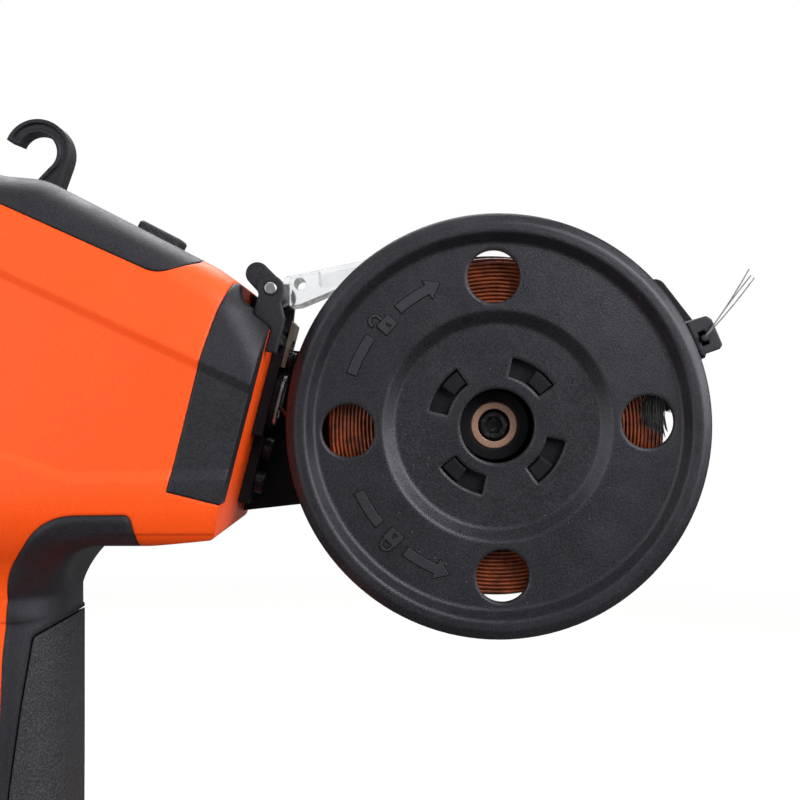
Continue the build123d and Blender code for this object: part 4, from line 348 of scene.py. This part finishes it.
coil_plan = Plan("coil_of_wire")
wire_radius = coil_plan.size("Wire Radius", 0.00040)
coil_inner = coil_plan.size("Inner Radius", 0.0268)
coil_outer = coil_plan.size("Outer Radius", 0.0399)
coil_width = coil_plan.size("Coil Width", 0.0150)
near_face, second_face, far_face = -0.00735, -0.00665, 0.0075
second_inner = 0.0263
face_drift, rim_drift = 0.00055, 0.00018
rim_radius, rim_start, rim_turns = 0.04002, -0.0073, 16.5
heart_radius, heart_deep, heart_wide, heart_shift = 0.0329, 0.0126, 0.0138, 0.0004
layers = []
for depth, start, turns in (
    (near_face, coil_inner, 14.0),
    (second_face, second_inner, 14.5),
    (far_face, coil_inner, 14.0),
):
    flat = coil_plan.step(
        "GeometryNodeCurveSpiral",
        Resolution=110,
        Rotations=turns,
        Start_Radius=start,
        End_Radius=coil_outer,
        Height=0.0,
    )
    flat = loosened(coil_plan, flat, face_drift, 130.0, depth * 1000)
    ring = round_wire(coil_plan, flat, wire_radius)
    layers.append(coil_plan.step("GeometryNodeTransform", Geometry=ring, Translation=(0, 0, depth)))
rim = coil_plan.step(
    "GeometryNodeCurveSpiral",
    Resolution=120,
    Rotations=rim_turns,
    Start_Radius=rim_radius,
    End_Radius=rim_radius,
    Height=coil_width,
)
rim = loosened(coil_plan, rim, rim_drift, 160.0, 3.0)
rim = round_wire(coil_plan, rim, wire_radius)
layers.append(coil_plan.step("GeometryNodeTransform", Geometry=rim, Translation=(0, 0, rim_start)))
heart = coil_plan.step("GeometryNodeCurvePrimitiveCircle", Resolution=128, Radius=heart_radius)
block = coil_plan.step("GeometryNodeCurvePrimitiveQuadrilateral", Width=heart_deep, Height=heart_wide)
bulk = coil_plan.step("GeometryNodeCurveToMesh", Curve=heart, Profile_Curve=block)
layers.append(coil_plan.step("GeometryNodeTransform", Geometry=bulk, Translation=(0, 0, heart_shift)))
wound = coil_plan.step("GeometryNodeJoinGeometry", Geometry=layers)
slack = coil_plan.size("Slack", 0.0004)
turn_place = coil_plan.step("GeometryNodeInputPosition")
below = coil_plan.step("ShaderNodeSeparateXYZ", output="Y", Vector=turn_place)
share = coil_plan.step("ShaderNodeMapRange", Value=below, From_Max=0.04, To_Max=slack)
hang = coil_plan.step("ShaderNodeCombineXYZ", Y=share)
wound = coil_plan.step("GeometryNodeSetPosition", Geometry=wound, Offset=hang)
wound = coil_plan.step(
    "GeometryNodeTransform", Geometry=wound, Rotation=(math.radians(-90), 0, 0), Translation=tuple(spool_at)
)
coil = coil_plan.make("wire_coil", wound, enamel.material)
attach(coil, "spool")
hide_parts("wire_core", "wire_winding")

# Retaining disc: a satin black moulding that twists onto the hub's lugs.
# Raised arrows, bars and padlocks on its sunk ring show which way it locks.
disc_black = moulded(
    "disc_black", (0.0030, 0.0029, 0.0037), (0.0210, 0.0205, 0.0250), 0.36, 3200, 0.0013, dust=0.35, shine=0.5
)
dress(disc_black, "locking_disc")
mark_black = moulded("mark_black", (0.013, 0.0135, 0.016), (0.018, 0.0185, 0.0215), 0.42, 6000, 0.0002)
# Painted groove shade: a near-black, dull material for flat strips laid just in front of the disc face round
# each mark, standing in for the shade of the groove it sits in.
groove_shade_black = moulded(
    "groove_shade_black", (0.0015, 0.0015, 0.0018), (0.0022, 0.0022, 0.0026), 0.7, 2200, 0.0, shine=0.1
)
mark_foot, mark_top, mark_half = -0.01290, -0.01335, 0.00115
shade_strip_face, shade_strip_half, shade_strip_lap = -0.01303, 0.00017, 0.0001


def on_disc(turn, reach):
    turn = math.radians(turn)
    return Vector((spool_at.x + reach * math.cos(turn), 0, spool_at.z + reach * math.sin(turn)))


def bar_outline(start, end, reach, half):
    steps = [start + (end - start) * k / 8 for k in range(9)]
    return [on_disc(t, reach + half) for t in steps] + [on_disc(t, reach - half) for t in reversed(steps)]


def arrow_outline(start, end, reach, half):
    head_long, head_half, tip_out = 5.2, half * 2.1, 0.0002
    neck = end - head_long * (1 if end > start else -1)
    steps = [start + (neck - start) * k / 6 for k in range(7)]
    outer = [on_disc(t, reach + half) for t in steps]
    inner = [on_disc(t, reach - half) for t in reversed(steps)]
    head = [on_disc(neck, reach + head_half), on_disc(end, reach + tip_out), on_disc(neck, reach - head_half)]
    return outer + head + inner


def strip_outline(points, half):
    left, right = [], []
    for k, point in enumerate(points):
        along = (points[min(k + 1, len(points) - 1)] - points[max(k - 1, 0)]).normalized()
        across = Vector((-along.z, 0, along.x)) * half
        left.append(point + across)
        right.append(point - across)
    return left + right[::-1]


def raised(sheet, outline, holes=()):
    """A thin raised land on the disc, drawn as an outline with any holes through it; its outline also gets a
    flat dark strip of painted groove shade.
    """
    shade_outlines.append(outline)
    rings = [[sheet.verts.new((p.x, mark_top, p.z)) for p in ring] for ring in (outline, *holes)]
    rims = [sheet.edges.new((ring[k - 1], ring[k])) for ring in rings for k in range(len(ring))]
    bmesh.ops.triangle_fill(sheet, edges=rims, use_beauty=True, normal=(0, -1, 0))
    for ring in rings:
        feet = [sheet.verts.new((v.co.x, mark_foot, v.co.z)) for v in ring]
        for k in range(len(ring)):
            sheet.faces.new((ring[k - 1], ring[k], feet[k], feet[k - 1]))


def padlock(sheet, turn, reach, opened):
    """Body with a keyhole, and a shackle that stands on it closed or swings clear of one side."""
    centre = on_disc(turn, reach)
    out = (centre - spool_at).normalized()
    out.y = 0
    side = Vector((out.z, 0, -out.x))

    def spot(across, up):
        return centre + side * across + out * up

    half, low, top = 0.0019, -0.0018, 0.0014
    raised(
        sheet,
        [spot(-half, low), spot(half, low), spot(half, top), spot(-half, top)],
        [[spot(-0.0007, -0.0011), spot(0.0007, -0.0011), spot(0.0, 0.0006)]],
    )
    bow, leg, bar_half = 0.0013, 0.0008, 0.0003
    shift = -bow if opened else 0.0
    lift = 0.0017 if opened else top
    arch = [spot(shift - bow, lift + (0.0003 if opened else 0.0))]
    for k in range(9):
        bend = math.pi - math.pi * k / 8
        arch.append(spot(shift + bow * math.cos(bend), lift + leg + bow * math.sin(bend)))
    arch.append(spot(shift + bow, 0.0015))
    raised(sheet, strip_outline(arch, bar_half))


shade_outlines = []
marks = bmesh.new()
raised(marks, bar_outline(160.5, 145.1, 0.0367, mark_half))
padlock(marks, 137.7, 0.0357, True)
raised(marks, arrow_outline(130.7, 112.3, 0.0363, mark_half))
raised(marks, bar_outline(205.1, 219.5, 0.0363, mark_half))
padlock(marks, 226.6, 0.0362, False)
raised(marks, arrow_outline(233.3, 251.6, 0.0367, mark_half))
bmesh.ops.recalc_face_normals(marks, faces=marks.faces)
# Painted groove shade: a flat dark strip along each mark's outline, drawn in place of a cut groove.
for outline in shade_outlines:
    for k, point in enumerate(outline):
        after = outline[(k + 1) % len(outline)]
        along = (after - point).normalized()
        across = Vector((-along.z, 0, along.x)) * shade_strip_half
        first, last = point - along * shade_strip_lap, after + along * shade_strip_lap
        corners = [first + across, last + across, last - across, first - across]
        face = marks.faces.new([marks.verts.new((c.x, shade_strip_face, c.z)) for c in corners])
        face.material_index = 1
        face.normal_update()
        if face.normal.y > 0:
            face.normal_flip()
mark_mesh = bpy.data.meshes.new("lock_marks")
marks.to_mesh(mark_mesh)
marks.free()
mark_mesh.materials.append(mark_black)
mark_mesh.materials.append(groove_shade_black)
lock_marks = bpy.data.objects.new("lock_marks", mark_mesh)
scene.collection.objects.link(lock_marks)
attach(lock_marks, "disc")

# Tie wire: one run of the same wire from the coil, over the inlet and on to the jaw.
# It bends smoothly at the inlet and runs straight through the housing.
wire_route = [
    (0.08834, 0, 0.16188),
    (0.07130, 0, 0.18705),
    (0.06917, 0, 0.19020),
    (0.06550, 0, 0.19118),
    (-0.12175, 0, 0.24136),
]


def cord(name, radius, roundness):
    """A curve that is swept as a round cord with closed ends."""
    curve = bpy.data.curves.new(name, "CURVE")
    curve.dimensions = "3D"
    curve.bevel_depth = radius
    curve.bevel_resolution = roundness
    curve.use_fill_caps = True
    return curve


def swept(curve):
    holder = bpy.data.objects.new(curve.name, curve)
    scene.collection.objects.link(holder)
    ready = holder.evaluated_get(bpy.context.evaluated_depsgraph_get())
    mesh = bpy.data.meshes.new_from_object(ready)
    bpy.data.objects.remove(holder)
    return mesh


wire_curve = cord("tie_wire_line", 0.0004, 3)
line = wire_curve.splines.new("NURBS")
line.points.add(len(wire_route) - 1)
for point, spot in zip(line.points, wire_route):
    point.co = (*spot, 1)
line.order_u = 3
line.use_endpoint_u = True
line.resolution_u = 16
wire_mesh = swept(wire_curve)
wire_mesh.materials.clear()
wire_mesh.materials.append(enamel.material)
tie_wire = bpy.data.objects.new("tie_wire_run", wire_mesh)
scene.collection.objects.link(tie_wire)
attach(tie_wire, "housing")
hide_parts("tie_wire")

# Brush: black nylon bristles set in the holder, which drag on the coil so that it cannot unwind.
# A few near bristles lie between the disc and the coil and show through the disc's hole.
nylon = Finish("black_nylon", IOR=1.5)
nylon.drive(
    Base_Color=nylon.cloudy(700, 2, (0.005, 0.005, 0.006), (0.022, 0.022, 0.024)),
    Roughness=nylon.spread(nylon.noise(1400, 2), 0.3, 0.7, 0.30, 0.45),
)
brush_root = on_disc(19.0, 0.0513)
brush_tip = on_disc(4.4, 0.0431)
lay = brush_tip - brush_root
near_tip = on_disc(-2.4, 0.0374)
near_lay = near_tip - brush_root
tuft_plan = Plan("brush_tuft")
strand_radius = tuft_plan.size("Strand Radius", 0.00011)
seed = tuft_plan.size("Seed", 7, "NodeSocketInt")
side_lean, outer_fan, shortest = 0.025, 0.7, 0.90
backing_thick, backing_shift = 0.0008, -0.0012
tufts = []
for wide, deep, across, rows, at, way, fan, bend, twist in (
    (0.0160, 0.0019, 44, 7, 0.0, lay, 0.05, 0.0003, 6.28),
    (0.0012, 0.0019, 7, 14, -0.0096, near_lay, 0.17, 0.0085, 0.12),
):
    bed = tuft_plan.step("GeometryNodeMeshGrid", Size_X=deep, Size_Y=wide, Vertices_X=rows, Vertices_Y=across)
    dots = tuft_plan.step("GeometryNodeMeshToPoints", Mesh=bed)
    jitter = tuft_plan.step(
        "FunctionNodeRandomValue",
        {"data_type": "FLOAT_VECTOR"},
        Min=(-0.00012, -0.00010, -0.0002),
        Max=(0.00012, 0.00010, 0.0),
        Seed=seed,
    )
    dots = tuft_plan.step("GeometryNodeSetPosition", Geometry=dots, Offset=jitter)
    bow = tuft_plan.step(
        "GeometryNodeCurveQuadraticBezier",
        Resolution=7,
        Start=(0, 0, 0),
        Middle=(bend, 0, way.length * 0.5),
        End=(0.0, 0, way.length),
    )
    hair = round_wire(tuft_plan, bow, strand_radius, 4)
    lean = tuft_plan.step(
        "FunctionNodeRandomValue",
        {"data_type": "FLOAT_VECTOR"},
        Min=(-side_lean, -outer_fan * fan, 0),
        Max=(side_lean, fan, twist),
        Seed=seed,
    )
    trim = tuft_plan.step(
        "FunctionNodeRandomValue",
        {"data_type": "FLOAT_VECTOR"},
        Min=(1, 1, shortest),
        Max=(1, 1, 1.0),
        Seed=seed,
    )
    tuft = tuft_plan.step(
        "GeometryNodeInstanceOnPoints", Points=dots, Instance=hair, Rotation=lean, Scale=trim
    )
    turn = math.atan2(way.x, way.z)
    tufts.append(
        tuft_plan.step(
            "GeometryNodeTransform",
            Geometry=tuft,
            Rotation=(0, turn, 0),
            Translation=(brush_root.x, at, brush_root.z),
        )
    )
backing = tuft_plan.step("GeometryNodeMeshCube", Size=(0.0020, 0.0186, backing_thick))
turn = math.atan2(lay.x, lay.z)
lifted = lay.normalized() * -backing_thick / 2
tufts.append(
    tuft_plan.step(
        "GeometryNodeTransform",
        Geometry=backing,
        Rotation=(0, turn, 0),
        Translation=(brush_root.x + lifted.x, backing_shift, brush_root.z + lifted.z),
    )
)
brush = tuft_plan.step("GeometryNodeJoinGeometry", Geometry=tufts)
bristles = tuft_plan.make("brush_tuft", brush, nylon.material)
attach(bristles, "housing")
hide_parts("brush_bristles")

# Loose filaments: three stray grey nylon ends held by a small ferrule in the holder's pocket.
# They lie across the holder's near face and stick out past its corner.
stray = Finish("grey_nylon", IOR=1.5, Roughness=0.35)
stray.drive(Base_Color=stray.cloudy(500, 2, (0.10, 0.10, 0.11), (0.26, 0.26, 0.28)))
stray_root = on_disc(23.2, 0.0528)
ferrule_radius, ferrule_ends = 0.00085, (-0.0080, -0.0138)
stray_curve = cord("stray_ends", 0.00016, 2)
stray_curve.materials.append(stray.material)
stray_curve.materials.append(trim_black)
for lean, reach, y, bow in (
    (57, 0.0194, -0.0131, 0.0003),
    (53.5, 0.0183, -0.0134, -0.0002),
    (50.2, 0.0185, -0.01285, 0.0003),
):
    way = Vector((math.cos(math.radians(lean)), 0, math.sin(math.radians(lean))))
    start = Vector((stray_root.x, y, stray_root.z))
    hair = stray_curve.splines.new("NURBS")
    hair.points.add(2)
    middle = start + way * reach * 0.5 + Vector((way.z, 0, -way.x)) * bow * 2
    for point, spot in zip(hair.points, (start, middle, start + way * reach)):
        point.co = (*spot, 1)
    hair.order_u = 3
    hair.use_endpoint_u = True
ferrule = stray_curve.splines.new("POLY")
ferrule.points.add(1)
for point, y in zip(ferrule.points, ferrule_ends):
    point.co = (stray_root.x, y, stray_root.z, 1)
    point.radius = ferrule_radius / stray_curve.bevel_depth
ferrule.material_index = 1
stray_ends = bpy.data.objects.new("stray_filaments", swept(stray_curve))
scene.collection.objects.link(stray_ends)
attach(stray_ends, "housing")
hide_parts("brush_filaments")

# Tension lever: a clear arm and a black thumb tab on one bright pin, in a black bracket.
# The steel guide plate below the pin steers the wire's end.
clear = Finish("clear_arm", IOR=1.49, Transmission_Weight=0.92)
clear.drive(
    Base_Color=clear.cloudy(120, 3, (0.86, 0.88, 0.90), (0.95, 0.96, 0.97)),
    Roughness=clear.spread(clear.noise(500, 3), 0.35, 0.7, 0.06, 0.20),
)
dress(clear.material, "tension_arm")
dress(trim_black, "lever_bracket", "thumb_tab")
dress(hard_steel, "lever_pin")
worn_steel = metal("worn_steel", (0.13, 0.105, 0.08), (0.34, 0.29, 0.235), 0.3, (1, 1, 0.2))
dress(worn_steel, "guide_plate")

# Trigger, board and terminals: the trigger slides in the grip's front on a small coil spring.
# The board is green with paler traces.
dress(trim_black, "trigger")
board = Finish("board_green", Roughness=0.35, IOR=1.5)
traces = board.node("TexBrick", None, {"Vector": board.place, "Scale": 160.0, "Mortar Size": 0.03}, "Fac")
board.drive(Base_Color=board.blend(traces, (0.012, 0.10, 0.035, 1), (0.05, 0.20, 0.08, 1)))
dress(board.material, "control_board")
spring_steel = metal("spring_steel", (0.38, 0.38, 0.39), (0.56, 0.56, 0.57), 0.2, (1, 1, 1))
dress(hard_steel, "terminal_block")


def spring(name, node, foot, length, turn, turns):
    """A round-wire compression spring in place of its node."""
    plan = Plan(name)
    wire_half = 0.0003
    wire = plan.size("Wire Radius", wire_half)
    around = plan.size("Coil Radius", 0.0028)
    path = plan.step(
        "GeometryNodeCurveSpiral",
        Resolution=32,
        Rotations=turns,
        Start_Radius=around,
        End_Radius=around,
        Height=length - 2 * wire_half,
    )
    coiled = round_wire(plan, path, wire)
    placed = plan.step("GeometryNodeTransform", Geometry=coiled, Rotation=turn, Translation=foot)
    piece = plan.make(name, placed, spring_steel)
    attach(piece, "housing")
    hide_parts(node)


spring("trigger_return", "trigger_spring", (-0.0197, 0, 0.1675), 0.0145, (0, math.radians(90), 0), 6.0)

# Battery: a charcoal case and lid over sleeved cells, with a red thumb latch at the front.
# A spring under the latch pushes it back up.
dress(trim_black, "battery_case", "battery_lid")
latch_red = moulded("latch_red", (0.42, 0.020, 0.012), (0.55, 0.032, 0.018), 0.38, 1800, 0.0004)
dress(latch_red, "battery_latch")
spring("latch_return", "latch_spring", (-0.038, 0, 0.0301), 0.0122, (0, 0, 0), 5.0)
sleeve = Finish("cell_sleeve", Roughness=0.3)
sleeve.drive(Base_Color=sleeve.cloudy(200, 2, (0.03, 0.10, 0.24), (0.05, 0.14, 0.30)))
dress(sleeve.material, "battery_cells")

# Studio: a pale round floor that fades into a white surround, brighter above than below.
# Soft lights stand at both sides, high and low, and above; the camera looks at the near side.
floor_mesh = bpy.data.meshes.new("floor")
floor_sheet = bmesh.new()
bmesh.ops.create_circle(floor_sheet, cap_ends=True, radius=1.1, segments=96)
floor_sheet.to_mesh(floor_mesh)
floor_sheet.free()
floor = bpy.data.objects.new("floor", floor_mesh)
scene.collection.objects.link(floor)
pale = Finish("pale_floor", Roughness=0.8)
pale.drive(Base_Color=pale.blend(pale.noise(30, 3), (0.86, 0.85, 0.82, 1), (0.90, 0.89, 0.86, 1)))
away = pale.node("VectorMath", {"operation": "LENGTH"}, {"Vector": pale.place}, "Value")
fade = pale.spread(away, 0.18, 0.95)
through = pale.tree.nodes.new("ShaderNodeBsdfTransparent")
mixed = pale.tree.nodes.new("ShaderNodeMixShader")
pale.tree.links.new(fade.socket, mixed.inputs[0])
pale.tree.links.new(pale.shader.outputs[0], mixed.inputs[1])
pale.tree.links.new(through.outputs[0], mixed.inputs[2])
pale.tree.links.new(mixed.outputs[0], pale.tree.nodes["Material Output"].inputs[0])
floor_mesh.materials.append(pale.material)
floor.visible_diffuse = False
floor.visible_glossy = False

scene.view_settings.view_transform = "Standard"
world = bpy.data.worlds.new("white_tent")
scene.world = world
world.use_nodes = True
tent = world.node_tree
sky = tent.nodes["Background"]
sky.inputs["Color"].default_value = (1, 1, 1, 1)
seen = tent.nodes.new("ShaderNodeLightPath")
level = tent.nodes.new("ShaderNodeMapRange")
level.inputs["To Max"].default_value = 1.0
either = tent.nodes.new("ShaderNodeMath")
either.operation = "MAXIMUM"
tent.links.new(seen.outputs["Is Camera Ray"], either.inputs[0])
tent.links.new(seen.outputs["Is Transmission Ray"], either.inputs[1])
tent.links.new(either.outputs[0], level.inputs["Value"])
bearing = tent.nodes.new("ShaderNodeTexCoord")
upward = tent.nodes.new("ShaderNodeSeparateXYZ")
rising = tent.nodes.new("ShaderNodeMapRange")
rising.inputs["From Min"].default_value = -0.5
rising.inputs["From Max"].default_value = 0.3
rising.inputs["To Min"].default_value = 0.14
rising.inputs["To Max"].default_value = 0.36
tent.links.new(bearing.outputs["Generated"], upward.inputs[0])
tent.links.new(upward.outputs["Z"], rising.inputs["Value"])
tent.links.new(rising.outputs[0], level.inputs["To Min"])
tent.links.new(level.outputs[0], sky.inputs["Strength"])


def softbox(name, at, aim, size, power):
    lamp = bpy.data.lights.new(name, "AREA")
    lamp.size = size
    lamp.energy = power
    holder = bpy.data.objects.new(name, lamp)
    holder.location = at
    holder.rotation_euler = (Vector(aim) - Vector(at)).to_track_quat("-Z", "Y").to_euler()
    scene.collection.objects.link(holder)


softbox("key", (0.64, -0.70, 0.66), (0.10, 0, 0.2), 0.6, 9.5)
softbox("side", (0.95, -0.22, 0.42), (0.12, 0, 0.18), 0.5, 3.0)
softbox("low_side", (0.80, -0.42, 0.10), (0.05, 0, 0.13), 0.4, 1.2)
softbox("fill", (-0.72, -0.66, 0.36), (-0.02, 0, 0.19), 1.0, 6.5)
softbox("top", (0.0, 0.42, 0.92), (0.0, 0.05, 0.1), 0.7, 9.0)

lens = bpy.data.cameras.new("camera")
lens.lens = 50
lens.sensor_width = 36
lens.clip_start = 0.01
camera = bpy.data.objects.new("camera", lens)
camera.location = (0.0993, -0.275, 0.1912)
camera.rotation_euler = (math.radians(90), 0, 0)
scene.collection.objects.link(camera)
scene.camera = camera
